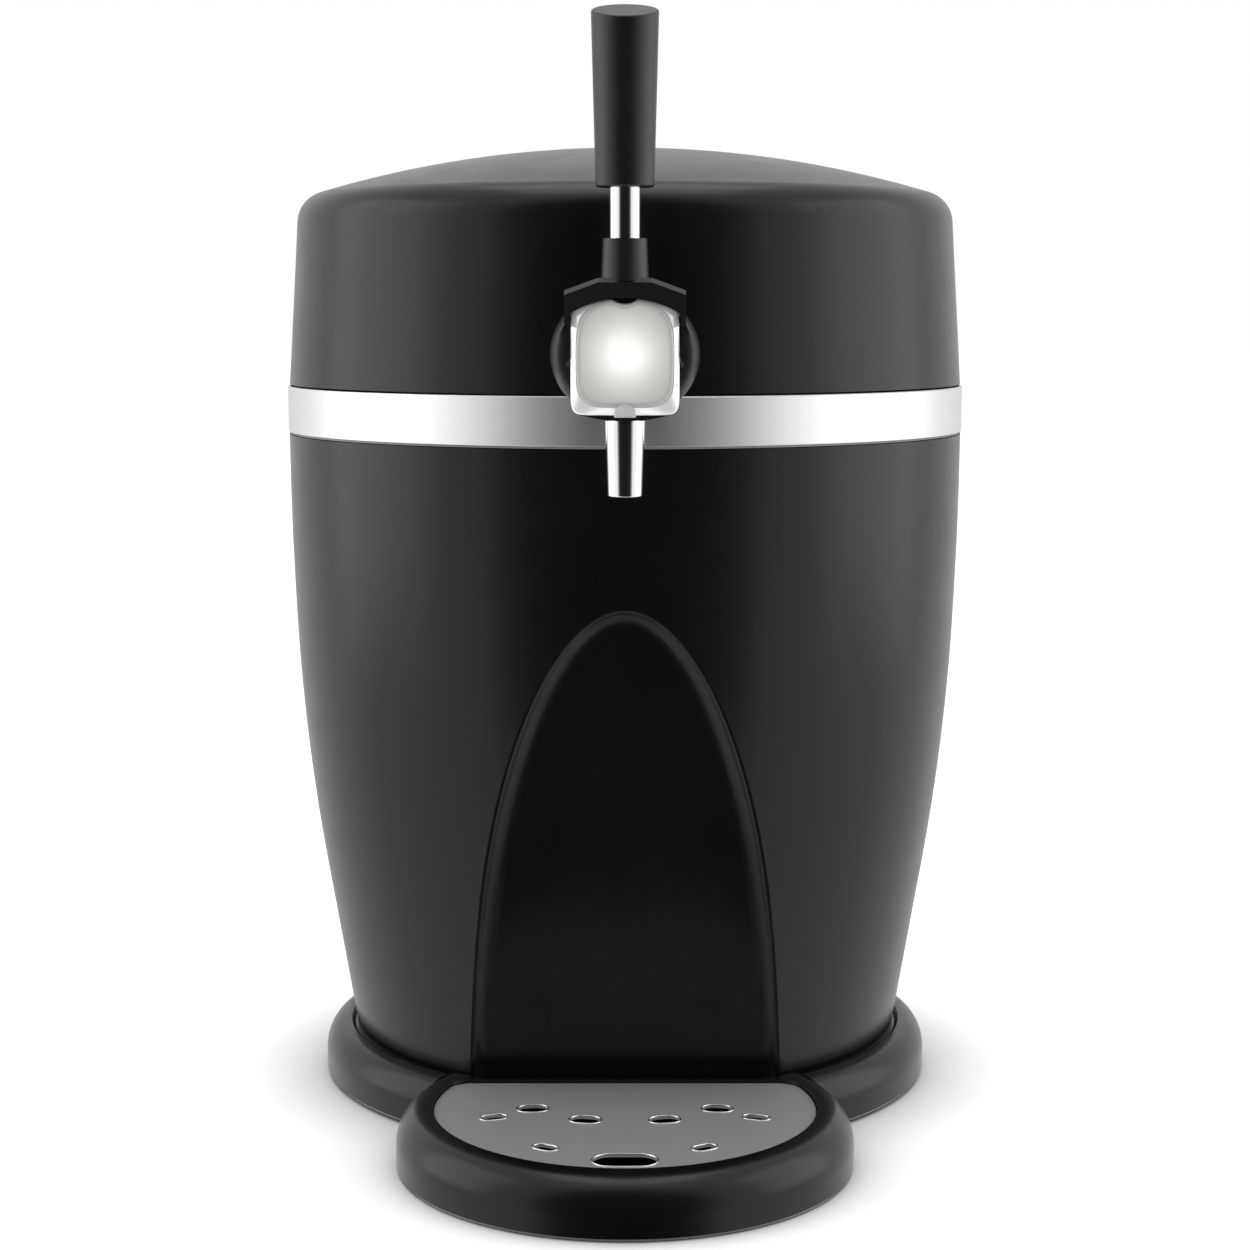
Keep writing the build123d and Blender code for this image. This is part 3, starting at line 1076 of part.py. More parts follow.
def lid_foam():
    """Insulation between the pan and the dome."""
    pan_top = PAN_CEILING_Z + PAN_WALL + GAP
    foam = lid_form(WALL + GAP) - cyl_z(LID_FOOT_R, 0, PAN_Z + WALL + GAP)
    foam -= cyl_z(PAN_R + PAN_WALL + GAP, 0, pan_top, 0, KEG_Y)
    foam -= cyl_y(SHANK_R + GAP, -LID_FOOT_R, 0, 0, TAP_Z)
    foam = cut(foam, [cyl_z(LID_BOSS_R + GAP, 0, LID_TOP_Z, x, y) for x, y in LID_BOSSES])
    foam = cut(foam, [cyl_z(SMALL_HEAD_R, 0, pan_top + SCREW_SPARE, x, y) for x, y in strap_screw_places()])
    return cut(foam, leaf_bosses(GAP, SCREW_SPARE))


def lid_screws():
    up = Rot(180, 0, 0) * screw(LID_SCREW_LENGTH)
    return group([Pos(x, y, PAN_Z + LID_SCREW_SINK) * up for x, y in LID_BOSSES])


# ============================ tap ===========================================
def front_outline(half, top, bottom, top_sag, bottom_sag, top_corner, bottom_corner):
    """Upright outline about the tap's axis with an arched top and bottom."""
    crown = ThreePointArc((-half, top - top_sag), (0, top), (half, top - top_sag))
    right = Line((half, top - top_sag), (half, bottom_sag - bottom))
    sole = ThreePointArc((half, bottom_sag - bottom), (0, -bottom), (-half, bottom_sag - bottom))
    left = Line((-half, bottom_sag - bottom), (-half, top - top_sag))
    face = make_face(Curve() + [crown, right, sole, left])
    ends = face.vertices().sort_by(Axis.Y)
    face = fillet(ends[-2:], top_corner)
    return fillet(face.vertices().sort_by_distance((half, bottom_sag - bottom, 0))[0:1]
                  + face.vertices().sort_by_distance((-half, bottom_sag - bottom, 0))[0:1], bottom_corner)


def front_prism(outline, y0, y1):
    """A front outline about the tap's axis, drawn out from y0 back to y1."""
    return Pos(0, y1, TAP_Z) * extrude(Plane.XZ * outline, y1 - y0)


def under_saddle(grow=0.0):
    """Room under the lever's saddle: a barrel about the pivot, open below it."""
    r = NECK_TOP_R + grow
    side_r = r - NECK_TOP_SAG * (ARM_IN / NECK_HALF_WIDTH) ** 2
    crown = ThreePointArc((-ARM_IN, side_r), (0, r), (ARM_IN, side_r))
    rest = Polyline((ARM_IN, side_r), (ARM_IN, 0), (-ARM_IN, 0), (-ARM_IN, side_r))
    barrel = revolve(make_face(Plane.XZ * (crown + rest)), Axis.X)
    return Pos(0, PIVOT_Y, TAP_Z) * (barrel + block(-ARM_IN, ARM_IN, -2 * r, 2 * r, -2 * r, 0))


def tap_ball():
    """Ellipsoid cut flat at both ends, drawn through upright ellipses."""
    steps = BALL_SECTIONS - 1
    sections = []
    for i in range(BALL_SECTIONS):
        y = NECK_REAR_Y + (BALL_REAR_Y - NECK_REAR_Y) * i / steps
        part = sqrt(1 - ((y - BALL_Y) / BALL_HALF_DEPTH) ** 2)
        sections.append(Plane(origin=(0, y, TAP_Z), x_dir=(1, 0, 0), z_dir=(0, 1, 0))
                        * Ellipse(BALL_HALF_WIDTH * part, BALL_HALF_HEIGHT * part))
    return loft(sections)


def tap_body():
    """Rounded housing with a neck that holds the lever pivot, the valve and the spout."""
    ball = tap_ball()
    outline = front_outline(NECK_HALF_WIDTH, NECK_TOP_R, NECK_BOTTOM, NECK_TOP_SAG, NECK_BOTTOM_SAG,
                            NECK_CORNER_R, NECK_CORNER_R)
    neck = front_prism(outline, FACE_REAR_Y + GAP / 2, NECK_REAR_Y + 2) & under_saddle()
    body = ball + neck
    body -= block(-CAVITY_HALF, CAVITY_HALF, FACE_REAR_Y - 1, CAVITY_REAR_Y, TAP_Z - CAVITY_DEPTH,
                  TAP_Z + CAVITY_TOP)
    body -= cyl_y(VALVE_R, VALVE_FRONT_Y, SHANK_FRONT_Y + 0.5, 0, TAP_Z - VALVE_DROP)
    body -= cyl_y(PORT_R, CAVITY_REAR_Y - 1, VALVE_FRONT_Y + 1, 0, PLUNGER_Z)
    body -= cyl_y(SHANK_R + FIT, SHANK_FRONT_Y, BALL_REAR_Y + 1, 0, TAP_Z)
    body -= cyl_x(PIVOT_R + FIT, -30, 30, PIVOT_Y, TAP_Z)
    body -= cyl_z(SPOUT_SPIGOT_R + FIT, NECK_BOTTOM_Z - 5, NECK_BOTTOM_Z + SPOUT_SPIGOT + GAP, 0, SPOUT_Y)
    body -= cyl_z(SPOUT_BORE_R, NECK_BOTTOM_Z, TAP_Z - CAVITY_DEPTH + 1, 0, SPOUT_Y)
    return body


def tap_face():
    """Polished cap on the front of the neck, with a raised satin pad."""
    frame = front_outline(FACE_HALF_WIDTH, FACE_TOP, FACE_BOTTOM, FACE_TOP_SAG, FACE_BOTTOM_SAG,
                          FACE_TOP_CORNER_R, FACE_CORNER_R)
    pad = front_outline(FACE_HALF_WIDTH - PAD_SIDE, FACE_TOP, FACE_BOTTOM - PAD_BOTTOM, FACE_TOP_SAG,
                        FACE_BOTTOM_SAG, PAD_CORNER_R, PAD_CORNER_R)
    cap = front_prism(frame, FACE_FRAME_Y, FACE_REAR_Y)
    cap = chamfer(cap.faces().sort_by(Axis.Y)[0].edges(), FACE_EDGE)
    pad = front_prism(pad, FACE_FRONT_Y, FACE_FRAME_Y)
    pad = chamfer(pad.faces().sort_by(Axis.Y)[0].edges(), FACE_EDGE)
    face = (cap + pad) & under_saddle()
    return face - cyl_y(NOTCH_R, FACE_FRONT_Y - 1, FACE_REAR_Y + 1, 0, TAP_Z + FACE_TOP)


def tap_collar():
    """Ring between the tap and the lid, its back shaped to the lid."""
    ring = cyl_y(COLLAR_R, BALL_REAR_Y, BALL_REAR_Y + 20, 0, TAP_Z) - lid_form(-GAP / 2)
    ring &= block(-COLLAR_R, COLLAR_R, BALL_REAR_Y, -LID_SHOULDER_R, 0, LID_TOP_Z)
    return ring - cyl_y(SHANK_R + FIT, BALL_REAR_Y - 1, 0, 0, TAP_Z)


def tap_shank():
    """Threaded tube that carries the beer through the lid, with a hose barb on its tail."""
    shank = cyl_y(SHANK_R, SHANK_FRONT_Y, SHANK_TAIL_Y, 0, TAP_Z)
    shank += cyl_y(BARB_R, SHANK_TAIL_Y - 1, SHANK_TAIL_Y + BARB_LENGTH, 0, TAP_Z)
    shank -= cyl_y(SHANK_BORE_R, SHANK_FRONT_Y - 1, SHANK_TAIL_Y - 4, 0, TAP_Z)
    return shank - cyl_y(BARB_BORE_R, SHANK_FRONT_Y, SHANK_TAIL_Y + BARB_LENGTH + 1, 0, TAP_Z)


def shank_washer():
    y = SHANK_SEAT_Y
    return cyl_y(WASHER_R, y, y + WASHER_THICK, 0, TAP_Z) - cyl_y(SHANK_R + FIT, y - 1, y + 10, 0, TAP_Z)


def shank_nut():
    y = SHANK_SEAT_Y + WASHER_THICK
    nut = Plane.XZ * RegularPolygon(NUT_R, 6)
    nut = Pos(0, y + NUT_THICK, TAP_Z) * extrude(nut, NUT_THICK)
    nut &= cyl_y(NUT_R * 0.97, y, y + NUT_THICK, 0, TAP_Z)
    return nut - cyl_y(SHANK_R + FIT, y - 1, y + NUT_THICK + 1, 0, TAP_Z)


def spout():
    """Tapered chrome tube with a spigot up into the neck."""
    tip_z = NECK_BOTTOM_Z - SPOUT_LENGTH
    tube = Pos(0, SPOUT_Y, (tip_z + NECK_BOTTOM_Z) / 2) * Cone(SPOUT_TIP_R, SPOUT_TOP_R, SPOUT_LENGTH)
    tube += cyl_z(SPOUT_SPIGOT_R, NECK_BOTTOM_Z - 1, NECK_BOTTOM_Z + SPOUT_SPIGOT, 0, SPOUT_Y)
    tube -= cyl_z(SPOUT_BORE_R, tip_z - 1, NECK_BOTTOM_Z + SPOUT_SPIGOT + 1, 0, SPOUT_Y)
    return fillet(tube.edges().group_by(Axis.Z)[0], 0.4)


def valve_plunger():
    """Rod and disc that close the way to the spout until the lever pushes them back."""
    rod = cyl_y(PLUNGER_ROD_R, SPOUT_Y, VALVE_FRONT_Y + 1, 0, PLUNGER_Z)
    return rod + cyl_y(DISC_R, VALVE_FRONT_Y, VALVE_FRONT_Y + DISC_THICK, 0, PLUNGER_Z)


# ============================ lever =========================================
def lever_yoke():
    """Saddle over the neck with an arm down each side and the collar for the rod."""
    outer = SADDLE_HALF_WIDTH
    shape = Polyline((-outer, -PIVOT_EYE_R), (-outer, YOKE_CORNER), (-YOKE_FLAT, YOKE_CROWN),
                     (YOKE_FLAT, YOKE_CROWN), (outer, YOKE_CORNER), (outer, -PIVOT_EYE_R), close=True)
    front, rear = PIVOT_Y - YOKE_HALF_DEPTH, PIVOT_Y + YOKE_HALF_DEPTH
    yoke = front_prism(make_face(shape), front, rear)
    top = [e for e in yoke.faces().sort_by(Axis.Y)[0].edges() if (e @ 0.5).Z > TAP_Z + YOKE_CORNER]
    yoke = chamfer(top, YOKE_BEVEL)
    shoulder_z = TAP_Z + ARM_SHOULDER
    side = block(-outer, outer, front, rear, shoulder_z, TAP_Z + YOKE_CROWN + 1)
    side = fillet(side.edges().filter_by(Axis.Y).group_by(Axis.Z)[0], SADDLE_HALF_WIDTH - ARM_OUT)
    side += block(-ARM_OUT, ARM_OUT, PIVOT_Y - PIVOT_EYE_R, PIVOT_Y + PIVOT_EYE_R, TAP_Z, shoulder_z + 1)
    side += cyl_x(PIVOT_EYE_R, -ARM_OUT, ARM_OUT, PIVOT_Y, TAP_Z)
    yoke = (yoke & side) - under_saddle(SADDLE_GAP)
    foot_z = TAP_Z + YOKE_CROWN - 1
    height = LEVER_COLLAR_TOP_Z - foot_z
    yoke += Pos(0, PIVOT_Y, foot_z + height / 2) * Cone(LEVER_COLLAR_FOOT_R, LEVER_COLLAR_TOP_R, height)
    yoke -= cyl_z(ROD_R + FIT, ROD_FOOT_Z, LEVER_COLLAR_TOP_Z + 1, 0, PIVOT_Y)
    return yoke - cyl_x(PIVOT_R + FIT, -ARM_OUT - 1, ARM_OUT + 1, PIVOT_Y, TAP_Z)


def lever_pivot():
    """Cross shaft with the tongue that pushes the valve plunger."""
    shaft = cyl_x(PIVOT_R, -ARM_OUT, ARM_OUT, PIVOT_Y, TAP_Z)
    return shaft + block(-TONGUE_HALF, TONGUE_HALF, PIVOT_Y - 2, PIVOT_Y + 2, TAP_Z - TONGUE_REACH, TAP_Z)


def lever_rod():
    rod = cyl_z(ROD_R, ROD_FOOT_Z + GAP, ROD_TOP_Z, 0, PIVOT_Y)
    return chamfer(rod.edges().filter_by(GeomType.CIRCLE), 0.6)


def lever_grip():
    """Round grip, wider upwards, its top cut at a slant that faces the user."""
    slant = tan(radians(GRIP_SLANT))
    rear_z = GRIP_FRONT_Z + 2 * GRIP_TOP_R * slant
    height = rear_z - GRIP_Z
    grip = Pos(0, PIVOT_Y, GRIP_Z + height / 2) * Cone(GRIP_FOOT_R, GRIP_TOP_R, height)
    over = Pos(0, 0, GRIP_TOP_R) * Box(8 * GRIP_TOP_R, 8 * GRIP_TOP_R, 2 * GRIP_TOP_R)
    over = Pos(0, PIVOT_Y - GRIP_TOP_R, GRIP_FRONT_Z) * Rot(GRIP_SLANT, 0, 0) * over
    grip -= over
    grip = fillet(grip.edges().sort_by(Axis.Z)[-1], GRIP_EDGE_R)
    grip = fillet(grip.edges().sort_by(Axis.Z)[0], GRIP_EDGE_R)
    return grip - cyl_z(ROD_R + FIT, GRIP_Z - 1, ROD_TOP_Z + GAP, 0, PIVOT_Y)


# ============================ drip tray =====================================
def drip_tray():
    """Round tray with a well under the plate and a hollow underside."""
    tray = tray_round(0, TRAY_LIFT)
    under = tray_round(-WALL)
    under &= block(-TRAY_R, TRAY_R, TRAY_Y - TRAY_R, 0, -1, PLATE_Z - WALL)
    under -= plate_prism(WALL - LEDGE, -1, PLATE_Z)
    tray -= under
    tray -= plate_prism(-LEDGE, TRAY_LIFT + TRAY_FLOOR, PLATE_Z + 1)
    return tray - plate_prism(GAP, PLATE_Z, TRAY_CREST_Z + 1)


def drip_plate():
    """Steel plate with drain slots."""
    plate = plate_prism(0, PLATE_Z, PLATE_Z + PLATE_THICK)
    for x, front, length, width, turn in PLATE_SLOTS:
        for side in (-1, 1):
            slot = Pos(side * x, TRAY_Y - front) * Rot(0, 0, side * turn) * SlotOverall(length, width)
            plate -= Pos(0, 0, PLATE_Z - 1) * extrude(slot, 5)
    front, length, width = FRONT_SLOT
    slot = Pos(0, TRAY_Y - front) * SlotOverall(length, width)
    plate -= Pos(0, 0, PLATE_Z - 1) * extrude(slot, 5)
    return chamfer(plate.edges().group_by(Axis.Z)[-1], PLATE_THICK / 4)


# ============================ tapping set ===================================
def keg_coupler():
    """Head that sits on the keg's valve: skirt, neck, beer port in front, gas port behind."""
    skirt_top, cup_z = COUPLER_Z + COUPLER_SKIRT, COUPLER_Z + COUPLER_CUP
    body = cyl_z(COUPLER_SKIRT_R, COUPLER_Z, skirt_top, 0, KEG_Y)
    body = fillet(body.edges().sort_by(Axis.Z)[-1], 2.0)
    body += cyl_z(COUPLER_NECK_R, skirt_top - 1, COUPLER_TOP_Z, 0, KEG_Y)
    body += cyl_y(BARB_R, KEG_Y - PORT_REACH, KEG_Y, 0, LINE_PORT_Z)
    gas_end = KEG_Y + COUPLER_NECK_R + GAS_BARB
    body += cyl_y(GAS_BARB_R, KEG_Y, gas_end, 0, LINE_PORT_Z)
    body -= cyl_z(COUPLER_SKIRT_R - COUPLER_RIM, COUPLER_Z - 1, cup_z, 0, KEG_Y)
    body -= cyl_z(COUPLER_BORE_R, COUPLER_Z, LINE_PORT_Z, 0, KEG_Y)
    body -= cyl_y(BARB_BORE_R, KEG_Y - PORT_REACH - 1, KEG_Y, 0, LINE_PORT_Z)
    gas_y = KEG_Y + (COUPLER_NECK_R + SEAL_R) / 2
    body -= cyl_z(GAS_BORE_R, COUPLER_Z, LINE_PORT_Z, 0, gas_y)
    return body - cyl_y(GAS_BORE_R, gas_y, gas_end + 1, 0, LINE_PORT_Z)


def coupler_seal():
    top = COUPLER_Z + COUPLER_CUP
    ring = cyl_z(SEAL_R, top - SEAL_HEIGHT, top, 0, KEG_Y) - cyl_z(COUPLER_BORE_R, 0, LID_TOP_Z, 0, KEG_Y)
    return fillet(ring.edges().group_by(Axis.Z)[0], 0.6)


def tapping_strap():
    """Bent steel strap under the pan's ceiling that carries the coupler and the gas set."""
    top, under = PAN_CEILING_Z, PAN_CEILING_Z - STRAP_THICK
    eye_r = HOLDER_R + FIT + STRAP_THICK
    strap = block(-STRAP_HALF, STRAP_HALF, KEG_Y - STRAP_FRONT, CO2_Y + HOLDER_R, under, top)
    strap += block(-STRAP_HALF, CRADLE_X[1] + 2 * CRADLE_HALF, CO2_Y - HOLDER_R, CO2_Y + HOLDER_R, under, top)
    strap += cyl_z(STEM_R, COUPLER_TOP_Z, under + 0.5, 0, KEG_Y)
    for x in CRADLE_X:
        x0, x1 = x - CRADLE_HALF, x + CRADLE_HALF
        web = block(x0, x1, CO2_Y - STRAP_THICK, CO2_Y + STRAP_THICK, CO2_Z + HOLDER_R, under + 0.5)
        strap += cyl_x(eye_r, x0, x1, CO2_Y, CO2_Z) + web
        strap -= cyl_x(HOLDER_R + FIT, x0 - 1, x1 + 1, CO2_Y, CO2_Z)
    return cut(strap, [cyl_z(SMALL_SCREW_R + FIT, under - 1, top + 1, x, y) for x, y in strap_screw_places()])


def strap_screw_places():
    reach = STRAP_HALF - 2 * SMALL_HEAD_R
    return [(sx * reach, KEG_Y + sy * reach) for sx in (-1, 1) for sy in (-1, 1)]


def strap_screws():
    up = Rot(180, 0, 0) * screw(STRAP_THICK + PAN_WALL + 1, SMALL_HEAD_R, SMALL_SCREW_R)
    return group([Pos(x, y, PAN_CEILING_Z - STRAP_THICK) * up for x, y in strap_screw_places()])


def beer_line():
    """Hose from the coupler's port forward and down to the shank's barb."""
    y0, y1 = KEG_Y - COUPLER_NECK_R - GAP, SHANK_TAIL_Y + GAP
    third = (y1 - y0) / 3
    route = [(0, y0, LINE_PORT_Z), (0, y0 + third, LINE_PORT_Z), (0, y1 - third, TAP_Z), (0, y1, TAP_Z)]
    return pipe(route, [LINE_BEND_R, LINE_BEND_R], LINE_R, LINE_BORE_R)


def co2_regulator():
    """Pressure regulator lying across the lid, gas outlet towards the coupler."""
    x0, x1 = REGULATOR_X
    body = cyl_x(REGULATOR_R, x0, x1, CO2_Y, CO2_Z)
    body = fillet(body.edges().filter_by(GeomType.CIRCLE), 1.5)
    body += cyl_x(HOLDER_R - HOLDER_WALL - FIT, x1 - 1, x1 + HOLDER_THREAD, CO2_Y, CO2_Z)
    outlet = CO2_Y - REGULATOR_R - GAS_BARB
    body += cyl_y(GAS_BARB_R, outlet, CO2_Y, GAS_X, CO2_Z)
    body -= cyl_x(CARTRIDGE_NECK_R + FIT, x1 - GAP, x1 + HOLDER_THREAD + 1, CO2_Y, CO2_Z)
    body -= cyl_x(KNOB_STEM_R + FIT, x0 - 1, x0 + STEM_BITE, CO2_Y, CO2_Z)
    body -= cyl_x(GAS_BORE_R, GAS_X, x1, CO2_Y, CO2_Z)
    return body - cyl_y(GAS_BORE_R, outlet - 1, CO2_Y, GAS_X, CO2_Z)


def regulator_knob():
    x1 = REGULATOR_X[0] - GAP
    knob = cyl_x(KNOB_R, x1 - KNOB_LENGTH, x1, CO2_Y, CO2_Z)
    knob = chamfer(knob.edges().filter_by(GeomType.CIRCLE), 0.8)
    knob = cut(knob, [cyl_x(FLUTE_R, x1 - KNOB_LENGTH - 1, x1 - 2, CO2_Y + y, CO2_Z + z)
                      for y, z in on_circle(KNOB_FLUTES, KNOB_R + FLUTE_R / 3)])
    return knob + cyl_x(KNOB_STEM_R, x1 - 1, x1 + STEM_BITE - 1, CO2_Y, CO2_Z)


def cartridge_holder():
    """Screw-on sleeve that holds the gas cartridge against the regulator."""
    x0, x1 = HOLDER_X
    sleeve = cyl_x(HOLDER_R, x0, x1, CO2_Y, CO2_Z)
    sleeve = fillet(sleeve.edges().filter_by(GeomType.CIRCLE).sort_by(Axis.X)[-1], 4.0)
    return sleeve - cyl_x(HOLDER_R - HOLDER_WALL, x0 - 1, x1 - HOLDER_WALL, CO2_Y, CO2_Z)


def co2_cartridge():
    shoulder_x = REGULATOR_X[1] + HOLDER_THREAD + GAP
    body = cyl_x(CARTRIDGE_R, shoulder_x, HOLDER_X[1] - HOLDER_WALL - GAP, CO2_Y, CO2_Z)
    body = fillet(body.edges().filter_by(GeomType.CIRCLE), CARTRIDGE_R * 0.55)
    return body + cyl_x(CARTRIDGE_NECK_R, shoulder_x - NECK_BITE, shoulder_x + 2, CO2_Y, CO2_Z)


def gas_line():
    y0 = CO2_Y - REGULATOR_R - GAP
    y1 = KEG_Y + COUPLER_NECK_R + GAP
    middle = (y0 + y1) / 2
    route = [(GAS_X, y0, CO2_Z), (GAS_X, middle, CO2_Z), (0, middle, LINE_PORT_Z), (0, y1, LINE_PORT_Z)]
    return pipe(route, [GAS_BEND_R, GAS_BEND_R], GAS_LINE_R, GAS_BARB_R + FIT)


def temperature_sensor():
    x, y = SENSOR_XY
    probe = cyl_z(SENSOR_R, SENSOR_Z, SENSOR_Z + SENSOR_LENGTH, x, y)
    return fillet(probe.edges().group_by(Axis.Z)[-1], SENSOR_R * 0.6)


# ============================ hand over =====================================
def place(shape):
    """From the body's axis to the frame whose origin is the middle of the footprint."""
    return Pos(0, AXIS_Y, 0) * shape


NODES = [base_housing, base_plate, rubber_feet, base_screws, power_supply, control_board,
         body_shell, body_foam, chamber_liner, temperature_sensor, deck_ring, band, lid_gasket,
         cold_block, peltier_module, heat_sink, sink_screws, fan_frame, fan_rotor, fan_screws,
         rear_housing, housing_screws, rear_grille, panel_screws, mains_inlet, switch_frame,
         rocker_switch, hinge_bracket, hinge_bracket_screws, hinge_pin, hinge_leaves,
         hinge_leaf_screws, lid_shell, lid_liner, lid_foam, lid_screws, tap_body, tap_face,
         tap_collar, tap_shank, shank_washer, shank_nut, spout, valve_plunger, lever_yoke,
         lever_pivot, lever_rod, lever_grip, drip_tray, drip_plate, keg_coupler, coupler_seal,
         tapping_strap, strap_screws, beer_line, co2_regulator, regulator_knob, cartridge_holder,
         co2_cartridge, gas_line]

for node in NODES:
    export_step(place(node()), f"parts/{node.__name__}.step")
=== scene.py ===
"""Visual model of a countertop mini keg dispenser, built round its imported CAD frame."""
import json
import math

import bmesh
import bpy
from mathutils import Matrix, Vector


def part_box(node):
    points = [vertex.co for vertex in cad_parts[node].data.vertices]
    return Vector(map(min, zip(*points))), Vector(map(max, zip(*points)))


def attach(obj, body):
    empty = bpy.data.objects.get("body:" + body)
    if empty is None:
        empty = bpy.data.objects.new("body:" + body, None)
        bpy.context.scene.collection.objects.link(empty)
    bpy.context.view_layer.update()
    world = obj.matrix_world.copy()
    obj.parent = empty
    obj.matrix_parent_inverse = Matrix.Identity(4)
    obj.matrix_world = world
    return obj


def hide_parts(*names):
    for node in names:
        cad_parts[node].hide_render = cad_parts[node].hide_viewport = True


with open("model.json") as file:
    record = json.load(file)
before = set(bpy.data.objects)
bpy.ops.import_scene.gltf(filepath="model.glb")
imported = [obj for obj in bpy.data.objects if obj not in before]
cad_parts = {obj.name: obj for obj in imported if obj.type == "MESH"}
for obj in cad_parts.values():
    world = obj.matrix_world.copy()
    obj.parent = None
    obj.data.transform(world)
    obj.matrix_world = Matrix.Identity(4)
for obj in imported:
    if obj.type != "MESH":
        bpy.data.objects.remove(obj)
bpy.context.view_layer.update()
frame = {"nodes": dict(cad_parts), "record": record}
NODES = frame["nodes"]
MM = 0.001

# ---- places read from the frame (metres) -------------------------------------------
BAND_LOW, BAND_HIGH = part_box("band")
BODY_AXIS_Y = (BAND_LOW.y + BAND_HIGH.y) / 2
FACE_LOW, FACE_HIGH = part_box("tap_face")
PIVOT_LOW, PIVOT_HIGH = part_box("lever_pivot")
PIVOT_Y = (PIVOT_LOW.y + PIVOT_HIGH.y) / 2
PIVOT_Z = PIVOT_HIGH.z - (PIVOT_HIGH.y - PIVOT_LOW.y) / 2
TAP_LOW, TAP_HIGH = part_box("tap_body")
TRAY_LOW, TRAY_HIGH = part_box("drip_tray")
TRAY_CENTRE_Y = TRAY_LOW.y + (TRAY_HIGH.x - TRAY_LOW.x) / 2
PLATE_TOP_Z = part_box("drip_plate")[1].z

# ---- materials ---------------------------------------------------------------------
NOISE_LOW, NOISE_HIGH = 0.3, 0.7   # nearly all values of a noise lie between these


def add_node(tree, kind, **values):
    """A new node with its sockets or settings given by name."""
    made = tree.nodes.new(kind)
    for key, value in values.items():
        if key in made.inputs:
            made.inputs[key].default_value = value
        else:
            setattr(made, key, value)
    return made


class Look:
    """A procedural material under construction."""

    def __init__(self, name):
        self.material = bpy.data.materials.new(name)
        self.material.use_nodes = True
        self.tree = self.material.node_tree
        self.shader = self.tree.nodes["Principled BSDF"]

    def node(self, kind, **values):
        return add_node(self.tree, kind, **values)

    def link(self, source, target):
        self.tree.links.new(source, target)

    def places(self, stretch=(1, 1, 1)):
        """Object coordinates in metres, stretched per axis."""
        coords = self.node("ShaderNodeTexCoord")
        mapping = self.node("ShaderNodeMapping", Scale=stretch)
        self.link(coords.outputs["Object"], mapping.inputs["Vector"])
        return mapping.outputs["Vector"]

    def noise(self, scale, detail, stretch=(1, 1, 1)):
        made = self.node("ShaderNodeTexNoise", Scale=scale, Detail=detail)
        self.link(self.places(stretch), made.inputs["Vector"])
        return made.outputs["Fac"]

    def roughness(self, factor, low, high):
        """Lets the roughness wander with a noise."""
        made = self.node("ShaderNodeMapRange", **{
            "From Min": NOISE_LOW, "From Max": NOISE_HIGH, "To Min": low, "To Max": high})
        self.link(factor, made.inputs["Value"])
        self.link(made.outputs["Result"], self.shader.inputs["Roughness"])

    def tint(self, factor, dark, light):
        """Blends two colours by a noise."""
        ramp = self.node("ShaderNodeValToRGB")
        ends = ramp.color_ramp.elements
        for end, place, color in zip(ends, (NOISE_LOW, NOISE_HIGH), (dark, light)):
            end.position = place
            end.color = (*color, 1)
        self.link(factor, ramp.inputs["Fac"])
        self.link(ramp.outputs["Color"], self.shader.inputs["Base Color"])
        return ramp.outputs["Color"]

    def bump(self, height, strength, depth):
        made = self.node("ShaderNodeBump", Strength=strength, Distance=depth)
        self.link(height, made.inputs["Height"])
        self.link(made.outputs["Normal"], self.shader.inputs["Normal"])


def shades(color, spread):
    """A darker and a lighter form of one colour."""
    return [tuple(min(1.0, c * (1 + side * spread)) for c in color) for side in (-1, 1)]


def moulded(name, color, rough, grain=0.25, scale=1400.0, gloss=0.5):
    """Satin moulded plastic with a fine spark-eroded grain."""
    look = Look(name)
    look.shader.inputs["Specular IOR Level"].default_value = gloss
    look.tint(look.noise(scale=14.0, detail=3.0), *shades(color, spread=0.12))
    look.roughness(look.noise(scale=60.0, detail=4.0), rough - 0.02, rough + 0.02)
    look.bump(look.noise(scale, detail=2.0), grain, depth=0.06 * MM)
    return look.material


def brushed(name, color, rough, stretch, grain=0.2, streak=0.06, metallic=1.0, anisotropic=0.0, uneven=0.05):
    """Metal with fine lines along one direction."""
    look = Look(name)
    look.shader.inputs["Metallic"].default_value = metallic
    if anisotropic:
        look.shader.inputs["Anisotropic"].default_value = anisotropic
        look.shader.inputs["Anisotropic Rotation"].default_value = 0.25   # a quarter turn
        around = look.node("ShaderNodeTangent", direction_type="RADIAL", axis="Z")
        look.link(around.outputs["Tangent"], look.shader.inputs["Tangent"])
    lines = look.noise(scale=1.0, detail=3.0, stretch=stretch)
    look.tint(lines, *shades(color, streak))
    look.roughness(lines, rough - uneven, rough + uneven)
    look.bump(lines, grain, depth=0.03 * MM)
    return look.material


def satin(name, color, rough, metallic):
    """Fine blasted metal, even all over."""
    look = Look(name)
    look.shader.inputs["Metallic"].default_value = metallic
    look.tint(look.noise(scale=30.0, detail=2.0), *shades(color, spread=0.01))
    look.roughness(look.noise(scale=120.0, detail=2.0), rough - 0.01, rough + 0.01)
    look.bump(look.noise(scale=2500.0, detail=1.0), strength=0.04, depth=0.02 * MM)
    return look.material


def polished(name, color, rough):
    """Polished metal with the faintest unevenness."""
    look = Look(name)
    look.shader.inputs["Metallic"].default_value = 1.0
    look.tint(look.noise(scale=40.0, detail=2.0), *shades(color, spread=0.02))
    look.roughness(look.noise(scale=220.0, detail=3.0), rough, rough + 0.03)
    look.bump(look.noise(scale=90.0, detail=1.0), strength=0.02, depth=0.02 * MM)
    return look.material


